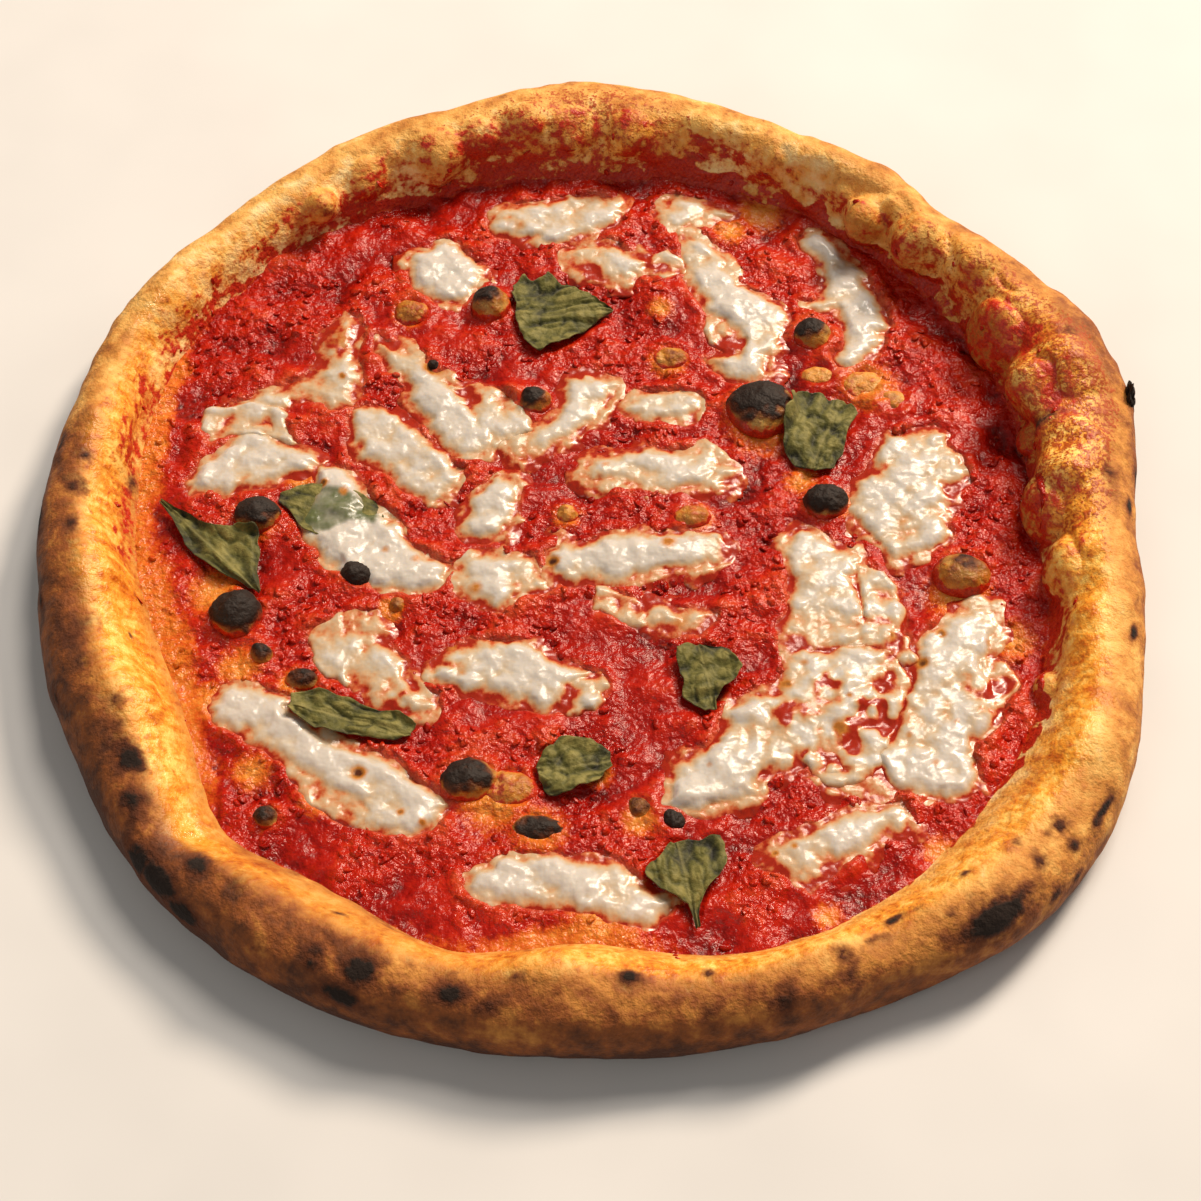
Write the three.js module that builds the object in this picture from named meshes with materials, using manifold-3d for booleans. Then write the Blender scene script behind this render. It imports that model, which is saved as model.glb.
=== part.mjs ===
// A margherita pizza in the Neapolitan style: a flat base with a puffed, uneven rim, a layer of
// crushed tomato, torn pieces of melted mozzarella and whole basil leaves.
// Millimetres, +Z up, origin at the middle of the flat underside.

import * as THREE from 'three';
import { mergeVertices } from 'three/addons/utils/BufferGeometryUtils.js';
import Module from 'manifold-3d';

const wasm = await Module();
wasm.setup();

// ---------------------------------------------------------------- driving dimensions
const BASE = 3.5; // thickness of the baked base under the sauce
const TUCK = 9; // how far the rim curls in under itself before it meets the table
const WIDEST = 0.42; // share of the rim's height at which it is widest
const CREST_IN = 0.42; // share of the rim's width from its outside to its crest
const SAUCE = 2.0; // mean depth of the sauce
const GAP = 0.35; // clearance between pieces that touch
const LEAF = 0.8; // thickness of a dried basil leaf

const SECTORS = 88; // steps round the rim and the sauce
const RIM_STEPS = [3, 4, 6]; // steps up the outside, over the shoulder, and down the inner wall
const SAUCE_RINGS = 11;
const MELT_RINGS = 8; // steps along a piece of mozzarella
const MELT_SIDES = 8; // steps round its cross-section
const LEAF_GRID = [7, 4]; // steps along and across a leaf

// The rim, every 15 degrees anticlockwise from +X: its widest radius, the radius of its inner
// foot, and the height of its crest.
const RIM_RADIUS = [
  156.5, 165, 159.5, 156, 156.5, 159.5, 166, 160, 160, 158, 158.5, 156.5,
  157, 157, 160, 164.5, 165.5, 165, 164.5, 165.5, 169, 173.5, 169.5, 160,
];
const FOOT_RADIUS = [
  127, 129, 131, 132, 134, 134, 130, 133, 134, 136, 137, 133,
  129, 125, 125, 136, 132, 136, 129, 138, 140.5, 139, 136, 131,
];
const CREST = [
  24, 25, 25, 24, 23, 24, 25, 24, 23, 22, 21, 22,
  23, 24, 23, 20, 22, 21, 23, 22, 22, 23, 23, 23,
];

// Gas bubbles swelling the rim: [degrees, step up the profile (see rimProfile), reach, height].
const BULGES = [
  [52, 2.55, 6, 5], [44.5, 2.5, 9, 4], [36, 2.4, 8, 5], [29, 2.35, 7, 3.5], [20, 2.1, 10, 3],
  [18, 2.55, 9, 6], [11.5, 2.5, 7, 5], [3, 2.5, 10, 6], [352, 2.5, 9, 3.5], [343, 2.4, 8, 2],
  [126.5, 2.55, 5, 4], [110, 2.45, 10, 3.5], [97, 2.35, 9, 3], [84, 2.4, 11, 3], [68, 2.5, 9, 2],
  [150, 2.2, 9, 2], [170, 2.3, 12, 3], [190, 2.3, 10, 2.5], [207, 2.1, 12, 2.5], [236, 1.9, 9, 2],
  [250, 1.5, 12, 2], [266, 2.3, 10, 2.5], [290, 1.6, 14, 2], [309, 1.5, 12, 2], [329, 2, 12, 2.5],
  [225, 2.2, 8, -4], [139, 1.7, 10, -1.5], [300, 2.2, 8, -1.5], [60, 1.8, 8, 2], [53, 1.5, 9, 3.5],
  [24, 1.5, 12, 3],
];

// Blisters of dough that came up through the sauce: [x, y, radius, height above the base].
const BLISTERS = [
  [-30, 83, 6.1, 8.5], [51, 41, 10.6, 11.5], [68, 71, 6.2, 8.5], [-16, 45, 4.8, 7.5],
  [-96, 4, 6.2, 8.5], [-99, -32, 7.8, 10], [-66, -18, 5, 8], [69, 8, 6.6, 8.5],
  [-32, -83, 7.8, 8.5], [-14, -98, 6.5, 5.5], [23, -96, 3.4, 5.5], [107, -16, 7.8, 8.5],
  [-55, 80, 5.4, 6], [-91, -44, 3.8, 6], [-79, -52, 4.3, 6], [-86, -95, 3.9, 6],
  [32, 3, 5, 5.6], [-6, 4, 3.8, 5.2], [78, 53, 6.4, 5.6], [89, 48, 6.4, 6], [76, -3, 4.6, 5.4],
  [-22, -86, 6, 6.2], [14, -92, 3.8, 4.8], [25, 62, 4.8, 5.2], [-47, 59, 2.7, 6.2],
];

// Places where a bubble lifts the sauce without breaking it: [x, y, reach, height].
const SWELLS = [
  [22, 80, 8, 2.2], [2, -124, 12, 1.2], [-118, -66, 10, 0.8], [104, 60, 12, 1], [40, -40, 16, 0.8],
  [-40, 60, 14, 0.6], [-70, -30, 12, 0.7], [60, -95, 10, 0.7], [-60, 108, 12, 0.9],
];

// Melted mozzarella: the thickness of each piece, and the dabs [x, y, radius] that it ran from.
const MOZZARELLA = [
  [2.8, [-49, 100, 6], [-42, 96, 7.4], [-35, 92, 5.4]],
  [2.4, [-25, 116, 5.4], [-14, 116, 6], [-3, 118, 6.2], [6, 121, 4.4]],
  [2.2, [23, 119, 3.8], [32, 121, 4.8], [40, 121, 4.2], [46, 119, 2.6]],
  [2.2, [0, 100, 4.8], [8, 101, 6], [16, 101, 5.2]],
  [2.6, [31, 107, 5.4], [39, 98, 7.4], [47, 88, 8.6], [53, 77, 8.4], [47, 66, 7.6]],
  [2.6, [68, 109, 4.8], [74, 101, 6.6], [79, 89, 8.2], [83, 79, 7.6], [81, 67, 5.6]],
  [2.2, [-74, 70, 5.4], [-74, 60, 6.6], [-84, 52, 5.6], [-97, 45, 5], [-105, 40, 3.8]],
  [2.8, [-111, 20, 5.4], [-103, 25, 8.2], [-92, 24, 8.6], [-83, 19, 6]],
  [2.6, [-60, 62, 4.4], [-54, 54, 6.8], [-45, 43, 8.6], [-35, 35, 8], [-25, 36, 5.6]],
  [2.6, [-68, 36, 5.8], [-60, 28, 8], [-51, 21, 8], [-42, 14, 5.6]],
  [2.4, [-25, 11, 5], [-29, 4, 6.2], [-34, 0, 4.4]],
  [2.6, [2, 19, 4], [11, 21, 6.6], [21, 21, 7.2], [31, 22, 7], [40, 23, 4.6]],
  [2.4, [14, 42, 4.8], [22, 44, 6.6], [31, 44, 5]],
  [2.2, [3, 50, 4.8], [-3, 42, 5.6], [-6, 33, 5.4], [-14, 27, 4]],
  [2.2, [-33, -21, 4.8], [-27, -18, 6.8], [-19, -16, 5.8]],
  [2.6, [-8, -14, 4.4], [-1, -14, 7.2], [9, -12, 7.4], [21, -9, 6], [34, -8, 5.4]],
  [2, [17, -30, 3.8], [24, -31, 5.4], [31, -32, 3.8]],
  [2.8, [-37, -47, 5], [-28, -47, 7.6], [-17, -50, 8], [-6, -52, 6], [2, -52, 4]],
  [2.4, [-63, -33, 5], [-62, -43, 8], [-56, -52, 7], [-45, -57, 4.2]],
  [3.4, [-72, 15, 4.4], [-73, 6, 6.4], [-66, -3, 8.2], [-57, -11, 8.4], [-46, -15, 6]],
  [2.8, [-100, -57, 5], [-89, -65, 7.8], [-75, -74, 8.4], [-61, -82, 8.4], [-49, -91, 7.2]],
  [2.8, [-26, -113, 5.6], [-15, -113, 7.4], [-3, -115, 7.6], [7, -118, 6.8], [16, -121, 4.2]],
  [2.4, [54, -110, 6.4], [62, -104, 7.2], [72, -99, 5.8], [84, -95, 3.6]],
  [2.6, [70, -12, 6], [66, -20, 8.6], [69, -30, 8.6], [70, -38, 6.4]],
  [3, [28, -86, 6], [37, -75, 8.2], [49, -64, 9.4], [60, -60, 9.6], [70, -56, 6.2]],
  [3, [110, -34, 6], [103, -42, 9.4], [102, -54, 11], [97, -68, 11], [95, -80, 9.4]],
  [2.8, [102, 31, 8], [96, 21, 11.4], [93, 10, 12], [92, -1, 8.2]],
  [2, [80, -65, 4.2], [74, -76, 6.6], [60, -79, 5]],
];

// Basil leaves: stem end, tip, width, where along it the blade is widest, cup of the blade,
// height of its waves, how far it is lifted clear of what it lies on, and the pieces of
// mozzarella that lie over it.
const BASIL = [
  { stem: [-22, 76], tip: [7, 79], width: 27, widest: 0.32, cup: 1.2, wave: 0.8, lift: 0.2 },
  { stem: [65, 19], tip: [75, 44], width: 21, widest: 0.55, cup: 1.6, wave: 0.9, lift: 0.3 },
  { stem: [-93, -24], tip: [-124, 8], width: 13, widest: 0.35, cup: 2.4, wave: 1, lift: 0.4 },
  {
    stem: [-90, 9], tip: [-61, -1], width: 15, widest: 0.4, cup: 0.2, wave: 0.3, lift: 0,
    under: [19],
  },
  { stem: [-82, -61], tip: [-48, -70], width: 12, widest: 0.4, cup: 1.8, wave: 0.9, lift: 0.2 },
  { stem: [-14, -82], tip: [7, -78], width: 15, widest: 0.5, cup: 0.9, wave: 0.7, lift: 0.2 },
  { stem: [31, -42], tip: [35, -62], width: 17, widest: 0.35, cup: 2.2, wave: 1, lift: 0.3 },
  { stem: [29, -128], tip: [24, -103], width: 21, widest: 0.66, cup: 2, wave: 0.9, lift: 0.3 },
];

// ---------------------------------------------------------------- small helpers
const mix = (a, b, t) => a + (b - a) * t;
const clamp = (v) => Math.min(1, Math.max(0, v));
const smooth = (a, b, v) => { const t = clamp((v - a) / (b - a)); return t * t * (3 - 2 * t); };

// A repeatable draw between 0 and 1 for one piece and one place on it.
function draw(piece, place) {
  const n = Math.sin(piece * 127.1 + place * 311.7 + 17.3) * 43758.5453;
  return n - Math.floor(n);
}

// A closed smooth curve through values that are evenly spaced round the circle.
function round(values, angle) {
  const n = values.length;
  const t = (((angle / (2 * Math.PI)) % 1) + 1) % 1 * n;
  const i = Math.floor(t), f = t - i;
  const [a, b, c, d] = [-1, 0, 1, 2].map((k) => values[(i + k + n) % n]);
  return 0.5 * (2 * b + (c - a) * f + (2 * a - 5 * b + 4 * c - d) * f * f
    + (3 * b - a - 3 * c + d) * f * f * f);
}

// Merges shared corners, drops faces that closed up at a pole, and keeps only positions.
function weld(geometry) {
  geometry.deleteAttribute('normal');
  geometry.deleteAttribute('uv');
  const merged = mergeVertices(geometry, 1e-4);
  const { array } = merged.index;
  const kept = [];
  for (let i = 0; i < array.length; i += 3) {
    const [a, b, c] = array.slice(i, i + 3);
    if (a !== b && b !== c && c !== a) kept.push(a, b, c);
  }
  merged.setIndex(kept);
  return merged;
}

// Moves every corner of a welded geometry to place(corner).
function reshape(geometry, place) {
  const position = geometry.attributes.position;
  const corner = new THREE.Vector3();
  for (let i = 0; i < position.count; i++) {
    corner.fromBufferAttribute(position, i);
    const p = place(corner);
    position.setXYZ(i, p.x, p.y, p.z);
  }
  return geometry;
}

function toSolid(geometry) {
  return new wasm.Manifold(new wasm.Mesh({
    numProp: 3,
    vertProperties: new Float32Array(geometry.attributes.position.array),
    triVerts: new Uint32Array(geometry.index.array),
  }));
}

// The largest closed body of a solid, as a geometry; crumbs that a cut leaves are dropped.
function toGeometry(solid) {
  const bodies = solid.decompose().sort((a, b) => b.volume() - a.volume());
  const mesh = bodies[0].getMesh();
  const geometry = new THREE.BufferGeometry();
  geometry.setAttribute('position', new THREE.BufferAttribute(mesh.vertProperties, 3));
  geometry.setIndex(new THREE.BufferAttribute(mesh.triVerts, 1));
  return geometry;
}

// ---------------------------------------------------------------- heights that the toppings lie on
function sauceTop(x, y) {
  let z = BASE + GAP + SAUCE + 0.35 * Math.sin(x / 17 + 0.4) * Math.sin(y / 15 + 1.1)
    + 0.25 * Math.sin((x + y) / 21 + 2);
  for (const [sx, sy, reach, height] of SWELLS) {
    z += height * Math.exp(-((x - sx) ** 2 + (y - sy) ** 2) / reach ** 2);
  }
  return z;
}

// How deep a point lies in a chain of dabs: 1 on the spine, 0 at the edge, negative outside.
function depthIn(dabs, x, y, grow) {
  let best = -1e9;
  for (let i = 0; i < dabs.length - 1; i++) {
    const [ax, ay, ar] = dabs[i], [bx, by, br] = dabs[i + 1];
    const [dx, dy] = [bx - ax, by - ay];
    const t = clamp(((x - ax) * dx + (y - ay) * dy) / (dx * dx + dy * dy));
    const d = Math.hypot(x - ax - t * dx, y - ay - t * dy);
    best = Math.max(best, 1 - d / (mix(ar, br, t) + grow));
  }
  return best;
}

// The surface that a leaf rests on: sauce, mozzarella and blisters, each a little enlarged.
function supportTop(x, y, passedOver) {
  const clearance = 1.4;
  let z = sauceTop(x, y) + GAP;
  MOZZARELLA.forEach(([thickness, ...dabs], i) => {
    const depth = depthIn(dabs, x, y, clearance);
    if (depth > 0 && !passedOver.includes(i)) {
      z = Math.max(z, sauceTop(x, y) + 2.2 * GAP + thickness * Math.sqrt(1 - (1 - depth) ** 2));
    }
  });
  for (const [bx, by, radius, height] of BLISTERS) {
    const d = Math.hypot(x - bx, y - by) / (radius + clearance);
    if (d < 1) z = Math.max(z, BASE + 1.6 * GAP + (height + 0.3) * Math.sqrt(1 - d * d));
  }
  return z;
}

// ---------------------------------------------------------------- the dough
// The rim's bare profile. The step runs 0-1 from the flat underside to the widest point, 1-2
// over the shoulder to the crest, and 2-3 down the inner wall to the foot.
function rimProfile(angle, step) {
  const outer = round(RIM_RADIUS, angle);
  const foot = round(FOOT_RADIUS, angle);
  const height = round(CREST, angle);
  const crest = outer - CREST_IN * (outer - foot);
  const widest = WIDEST * height;
  const roundness = 0.9;
  if (step <= 1) {
    const a = step * Math.PI / 2;
    return [outer - TUCK + TUCK * Math.sin(a) ** roundness,
      widest * (1 - Math.max(0, Math.cos(a)) ** roundness)];
  }
  if (step <= 2) {
    const a = (step - 1) * Math.PI / 2;
    return [crest + (outer - crest) * Math.max(0, Math.cos(a)) ** roundness,
      widest + (height - widest) * Math.sin(a) ** roundness];
  }
  const c = step - 2;
  return [crest - (crest - foot) * c, BASE + (height - BASE) * (1 - c * c) ** 1.5];
}

function rimPoint(angle, step) {
  const [r, z] = rimProfile(angle, step);
  return new THREE.Vector3(r * Math.cos(angle), r * Math.sin(angle), z);
}

const bulges = BULGES.map(([degrees, step, reach, height]) => (
  { centre: rimPoint(THREE.MathUtils.degToRad(degrees), step), reach, height }));

// The rim with its bulges and slow waves, pushed out from the core of the dough ring.
function rimSurface(angle, step) {
  const p = rimPoint(angle, step);
  const outer = round(RIM_RADIUS, angle), foot = round(FOOT_RADIUS, angle);
  const coreRadius = outer - 0.45 * (outer - foot), coreHeight = 0.4 * round(CREST, angle);
  const core = new THREE.Vector3(
    coreRadius * Math.cos(angle), coreRadius * Math.sin(angle), coreHeight);
  let push = 0.5 * Math.sin(9 * angle + 2.1 * step) + 0.4 * Math.sin(17 * angle - 2 * step + 1);
  for (const { centre, reach, height } of bulges) {
    push += height * Math.exp(-centre.distanceToSquared(p) / reach ** 2);
  }
  push *= smooth(0.5, 1.1, step) * (1 - smooth(2.5, 2.8, step));
  return p.addScaledVector(p.clone().sub(core).normalize(), push);
}

// A blister's dome; its lower half is pressed flat so that it ends inside the base.
function blister([x, y, radius, height], grow = 0) {
  const sides = radius > 6 ? 12 : 8;
  const dome = weld(new THREE.SphereGeometry(1, sides, sides / 2 + 1));
  dome.rotateX(Math.PI / 2);
  const flattened = 0.2;
  reshape(dome, (p) => new THREE.Vector3(
    x + p.x * (radius + grow),
    y + p.y * (radius + grow),
    BASE + p.z * (height + grow) * (p.z < 0 ? flattened : 1)));
  return toSolid(dome);
}

// A burnt flake of crust standing out from the rim's edge.
function flake() {
  const chip = weld(new THREE.OctahedronGeometry(1, 1));
  chip.scale(4.2, 1.7, 5.6);
  chip.rotateY(0.35);
  chip.rotateZ(0.2);
  const edge = rimSurface(THREE.MathUtils.degToRad(13), 1.25);
  chip.translate(edge.x + 1.4, edge.y, edge.z + 0.5);
  return toSolid(chip);
}

function dough() {
  const steps = [];
  RIM_STEPS.forEach((count, stretch) => {
    for (let i = 0; i < count; i++) steps.push(stretch + i / count);
  });
  steps.push(3);
  // The lathe's profile numbers its points by height; reshape puts each one in its true place.
  const profile = [new THREE.Vector2(0, 0), ...steps.map((_, i) => new THREE.Vector2(1, i + 1)),
    new THREE.Vector2(0, steps.length + 1)];
  const body = weld(new THREE.LatheGeometry(profile, SECTORS));
  reshape(body, ({ x, y, z }) => {
    const row = Math.round(y);
    if (row === 0) return new THREE.Vector3(0, 0, 0);
    if (row > steps.length) return new THREE.Vector3(0, 0, BASE);
    return rimSurface(Math.atan2(x, z), steps[row - 1]);
  });
  let solid = toSolid(body).add(flake());
  for (const b of BLISTERS) solid = solid.add(blister(b));
  return toGeometry(solid);
}

// ---------------------------------------------------------------- the tomato sauce
function tomatoSauce() {
  const EDGE_LOW = -0.6, EDGE_TOP = 0.6; // the edge leans out onto the foot of the wall
  const rows = SAUCE_RINGS + 1;
  const profile = [new THREE.Vector2(0, 0)];
  for (let i = 1; i <= rows; i++) profile.push(new THREE.Vector2(1, i));
  profile.push(new THREE.Vector2(0, rows + 1));
  const body = weld(new THREE.LatheGeometry(profile, SECTORS));
  const lump = (x, y) => { // pulp showing between the toppings
    const bare = Math.max(...MOZZARELLA.map(([, ...dabs]) => depthIn(dabs, x, y, 3)));
    const leafy = Math.min(...BASIL.map(({ stem, tip }) => (
      Math.hypot(x - (stem[0] + tip[0]) / 2, y - (stem[1] + tip[1]) / 2))));
    const wave = Math.sin(x / 2.9 + 1.7 * Math.sin(y / 6)) * Math.sin(y / 3.3);
    return 0.75 * wave * (1 - smooth(-0.6, 0, bare)) * smooth(16, 22, leafy);
  };
  reshape(body, ({ x, y, z }) => {
    const row = Math.round(y);
    const angle = Math.atan2(x, z);
    const foot = round(FOOT_RADIUS, angle);
    if (row === 0) return new THREE.Vector3(0, 0, BASE + GAP);
    if (row > rows) return new THREE.Vector3(0, 0, sauceTop(0, 0));
    const share = (rows + 1 - row) / rows; // 1 at the edge, falling to the middle
    const r = row === 1 ? foot + EDGE_LOW : (foot + EDGE_TOP) * share * rows / (rows - 1);
    const [px, py] = [r * Math.cos(angle), r * Math.sin(angle)];
    if (row === 1) return new THREE.Vector3(px, py, BASE + GAP);
    const top = sauceTop(px, py) + (row === 2 ? -0.3 : lump(px, py));
    return new THREE.Vector3(px, py, top);
  });
  let solid = toSolid(body);
  for (const b of BLISTERS) solid = solid.subtract(blister(b, GAP));
  return toGeometry(solid);
}

// ---------------------------------------------------------------- the mozzarella
// One melted piece: a sphere with its poles at the ends of the spine, bent along the dabs,
// domed above and flattened onto the sauce beneath.
function melt([thickness, ...dabs], piece) {
  const spine = new THREE.CatmullRomCurve3(
    dabs.map(([x, y]) => new THREE.Vector3(x, y, 0)), false, 'centripetal');
  const last = dabs.length - 1;
  const length = spine.getLength();
  const [startCap, endCap] = [dabs[0][2], dabs[last][2]];
  const station = (along) => { // along runs from -startCap to length + endCap
    const u = clamp(along / length);
    const tangent = spine.getTangentAt(u);
    const centre = spine.getPointAt(u).addScaledVector(tangent, along - u * length);
    const t = spine.getUtoTmapping(u) * last;
    const i = Math.min(last - 1, Math.floor(t));
    const radius = mix(dabs[i][2], dabs[i + 1][2], t - i);
    const past = Math.max(-along / startCap, (along - length) / endCap, 0);
    const cap = Math.sqrt(Math.max(0, 1 - past * past));
    return { centre, across: new THREE.Vector3(-tangent.y, tangent.x, 0), radius, cap };
  };
  const ball = weld(new THREE.SphereGeometry(1, MELT_SIDES, MELT_RINGS));
  reshape(ball, ({ x, y, z }) => {
    const ring = Math.round(Math.acos(THREE.MathUtils.clamp(y, -1, 1)) / Math.PI * MELT_RINGS);
    const ease = (1 - Math.cos(ring / MELT_RINGS * Math.PI)) / 2;
    const along = mix(-startCap, length + endCap, mix(ring / MELT_RINGS, ease, 0.5));
    const { centre, across, radius, cap } = station(along);
    const size = Math.hypot(x, z) || 1;
    const side = x / size, up = z / size;
    const ragged = 1 + 0.16 * (draw(piece, ring * 7 + (side > 0 ? 1 : 2)) - 0.6);
    const p = centre.addScaledVector(across, side * radius * cap * ragged);
    if (size === 1 && Math.abs(y) > 0.999) p.copy(centre);
    const rise = up > 0.01 && Math.abs(y) < 0.999 ? thickness * up * (0.4 + 0.6 * cap) : 0;
    p.z = sauceTop(p.x, p.y) + GAP + rise;
    return p;
  });
  return toSolid(ball);
}

// ---------------------------------------------------------------- the basil
// A leaf is a thin wavy sheet over what it lies on: two grids alike, LEAF apart, and an edge.
function leaf(row, piece, grow = 0, below = 0) {
  const { stem, tip, width, widest, cup, wave, lift, under = [] } = row;
  const skew = Math.log(0.5) / Math.log(widest);
  const [nu, nv] = LEAF_GRID;
  const [sx, sy] = stem;
  const [dx, dy] = [tip[0] - sx, tip[1] - sy];
  const length = Math.hypot(dx, dy);
  const at = (i, j, level) => {
    const u = mix(-grow / length, 1 + grow / length, i / nu);
    const v = j / nv * 2 - 1;
    const blade = Math.sin(Math.PI * clamp(0.04 + 0.93 * i / nu) ** skew) ** 0.8;
    const ragged = 1 + 0.2 * (draw(piece + 40, i * 5 + j) - 0.5);
    const half = (width / 2 * blade + 0.35) * ragged + grow;
    const x = sx + dx * u - dy / length * v * half;
    const y = sy + dy * u + dx / length * v * half;
    const ripple = 1 + Math.sin(u * 9 + v * 2 + piece) * Math.cos(v * 4 - u * 3 + piece);
    const z = supportTop(x, y, under) + lift + cup * v * v * blade + wave * ripple;
    return [x, y, z + (level ? LEAF + (grow ? GAP : 0) : -below)];
  };
  const corners = [], faces = [];
  const index = (i, j, level) => (i * (nv + 1) + j) * 2 + level;
  for (let i = 0; i <= nu; i++) {
    for (let j = 0; j <= nv; j++) corners.push(...at(i, j, 0), ...at(i, j, 1));
  }
  const quad = (a, b, c, d) => faces.push(a, b, c, a, c, d);
  for (let i = 0; i < nu; i++) {
    for (let j = 0; j < nv; j++) {
      const ring = [[i, j], [i + 1, j], [i + 1, j + 1], [i, j + 1]];
      const [a, b, c, d] = ring.map(([p, q]) => index(p, q, 0));
      faces.push(a, c, b, a, d, c);
      quad(a + 1, b + 1, c + 1, d + 1);
    }
  }
  const edge = [];
  for (let i = 0; i < nu; i++) edge.push([i, 0]);
  for (let j = 0; j < nv; j++) edge.push([nu, j]);
  for (let i = nu; i > 0; i--) edge.push([i, nv]);
  for (let j = nv; j > 0; j--) edge.push([0, j]);
  edge.forEach((from, n) => {
    const to = edge[(n + 1) % edge.length];
    quad(index(...from, 0), index(...to, 0), index(...to, 1), index(...from, 1));
  });
  const geometry = new THREE.BufferGeometry();
  geometry.setAttribute('position', new THREE.Float32BufferAttribute(corners, 3));
  geometry.setIndex(faces);
  return toSolid(geometry);
}

// ---------------------------------------------------------------- materials and assembly
const crustMaterial = () => new THREE.MeshStandardMaterial(
  { color: 0xd9a860, roughness: 0.75, metalness: 0 });
const sauceMaterial = () => new THREE.MeshStandardMaterial(
  { color: 0xa81f16, roughness: 0.35, metalness: 0 });
const cheeseMaterial = () => new THREE.MeshStandardMaterial(
  { color: 0xeee3c6, roughness: 0.35, metalness: 0 });
const leafMaterial = () => new THREE.MeshStandardMaterial(
  { color: 0x43502c, roughness: 0.7, metalness: 0 });

const pizza = new THREE.Group();
const numbered = (kind, i) => `${kind}_${String(i + 1).padStart(2, '0')}`;

function addPiece(name, geometry, material) {
  const mesh = new THREE.Mesh(geometry, material);
  mesh.name = name;
  pizza.add(mesh);
  return mesh;
}

const doughMesh = addPiece('dough', dough(), crustMaterial());
addPiece('tomato_sauce', tomatoSauce(), sauceMaterial());
MOZZARELLA.forEach((row, i) => {
  let solid = melt(row, i);
  for (const b of BLISTERS) solid = solid.subtract(blister(b, GAP));
  BASIL.forEach((row, n) => {
    if (row.under?.includes(i)) solid = solid.subtract(leaf(row, n, 2 * GAP, 3 * GAP));
  });
  addPiece(numbered('mozzarella', i), toGeometry(solid), cheeseMaterial());
});
BASIL.forEach((row, i) => {
  addPiece(numbered('basil', i), toGeometry(leaf(row, i)), leafMaterial());
});

// The middle of the outline goes to the origin.
doughMesh.geometry.computeBoundingBox();
const middle = doughMesh.geometry.boundingBox.getCenter(new THREE.Vector3());
pizza.position.set(-middle.x, -middle.y, 0);

export default pizza;
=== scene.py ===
# %% [markdown]
# # A margherita pizza, from bare dough to glossy cheese
# The solid model gives the sizes and the place of every piece. This lesson dresses it: a puffed
# crust with burnt spots, blisters of dough, crushed tomato, melted mozzarella and dried basil.
# All shapes are worked out in millimetres and turned to metres when a mesh is made.

# %% Load the solid frame
from itertools import product

import bpy
import numpy as np
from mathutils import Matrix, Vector


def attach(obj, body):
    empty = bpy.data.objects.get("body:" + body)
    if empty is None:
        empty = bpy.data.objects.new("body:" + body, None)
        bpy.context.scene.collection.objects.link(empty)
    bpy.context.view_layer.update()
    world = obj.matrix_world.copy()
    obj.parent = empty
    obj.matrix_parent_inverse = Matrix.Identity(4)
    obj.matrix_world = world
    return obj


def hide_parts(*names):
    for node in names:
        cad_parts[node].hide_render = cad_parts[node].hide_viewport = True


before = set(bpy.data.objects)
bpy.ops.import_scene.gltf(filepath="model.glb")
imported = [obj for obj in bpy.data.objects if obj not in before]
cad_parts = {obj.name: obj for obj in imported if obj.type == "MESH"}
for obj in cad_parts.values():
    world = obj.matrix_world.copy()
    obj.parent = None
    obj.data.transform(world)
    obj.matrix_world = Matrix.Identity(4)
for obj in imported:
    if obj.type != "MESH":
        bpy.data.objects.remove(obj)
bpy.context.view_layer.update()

# %% [markdown]
# ## The layout
# A hand-stretched pizza has no simple rule: its outline, its foot and its crest change all the
# way round. Each is a list of 24 values, one every 15 degrees anticlockwise from +X, and a
# smooth closed curve runs through them. The same lists shaped the solids, so the detailed
# pieces land on them.

# %% Sizes of the dough
MM = 0.001  # one millimetre in metres, for the sizes that Blender's own nodes and lamps take
BASE = 3.5  # thickness of the baked base under the sauce
TUCK = 9  # how far the rim curls in under itself
WIDEST = 0.42  # share of the rim's height at which it is widest
CREST_IN = 0.42  # share of the rim's width from its outside to its crest
ROUNDNESS = 0.9  # 1 gives round quarters of the profile, less gives squarer ones
CORE_IN, CORE_UP = 0.45, 0.4  # the rim's core, as shares of its width and of its height
SAUCE = 2.35  # mean depth of the sauce with the clearance under it
CENTRE = np.array([-3.8076, -0.7154, 0])  # moves the outline's middle to the origin

RIM_RADIUS = [156.5, 165, 159.5, 156, 156.5, 159.5, 166, 160, 160, 158, 158.5, 156.5,
              157, 157, 160, 164.5, 165.5, 165, 164.5, 165.5, 169, 173.5, 169.5, 160]
FOOT_RADIUS = [127, 129, 131, 132, 134, 134, 130, 133, 134, 136, 137, 133,
               129, 125, 125, 136, 132, 136, 129, 138, 140.5, 139, 136, 131]
CREST = [24, 25, 25, 24, 23, 24, 25, 24, 23, 22, 21, 22,
         23, 24, 23, 20, 22, 21, 23, 22, 22, 23, 23, 23]

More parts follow.
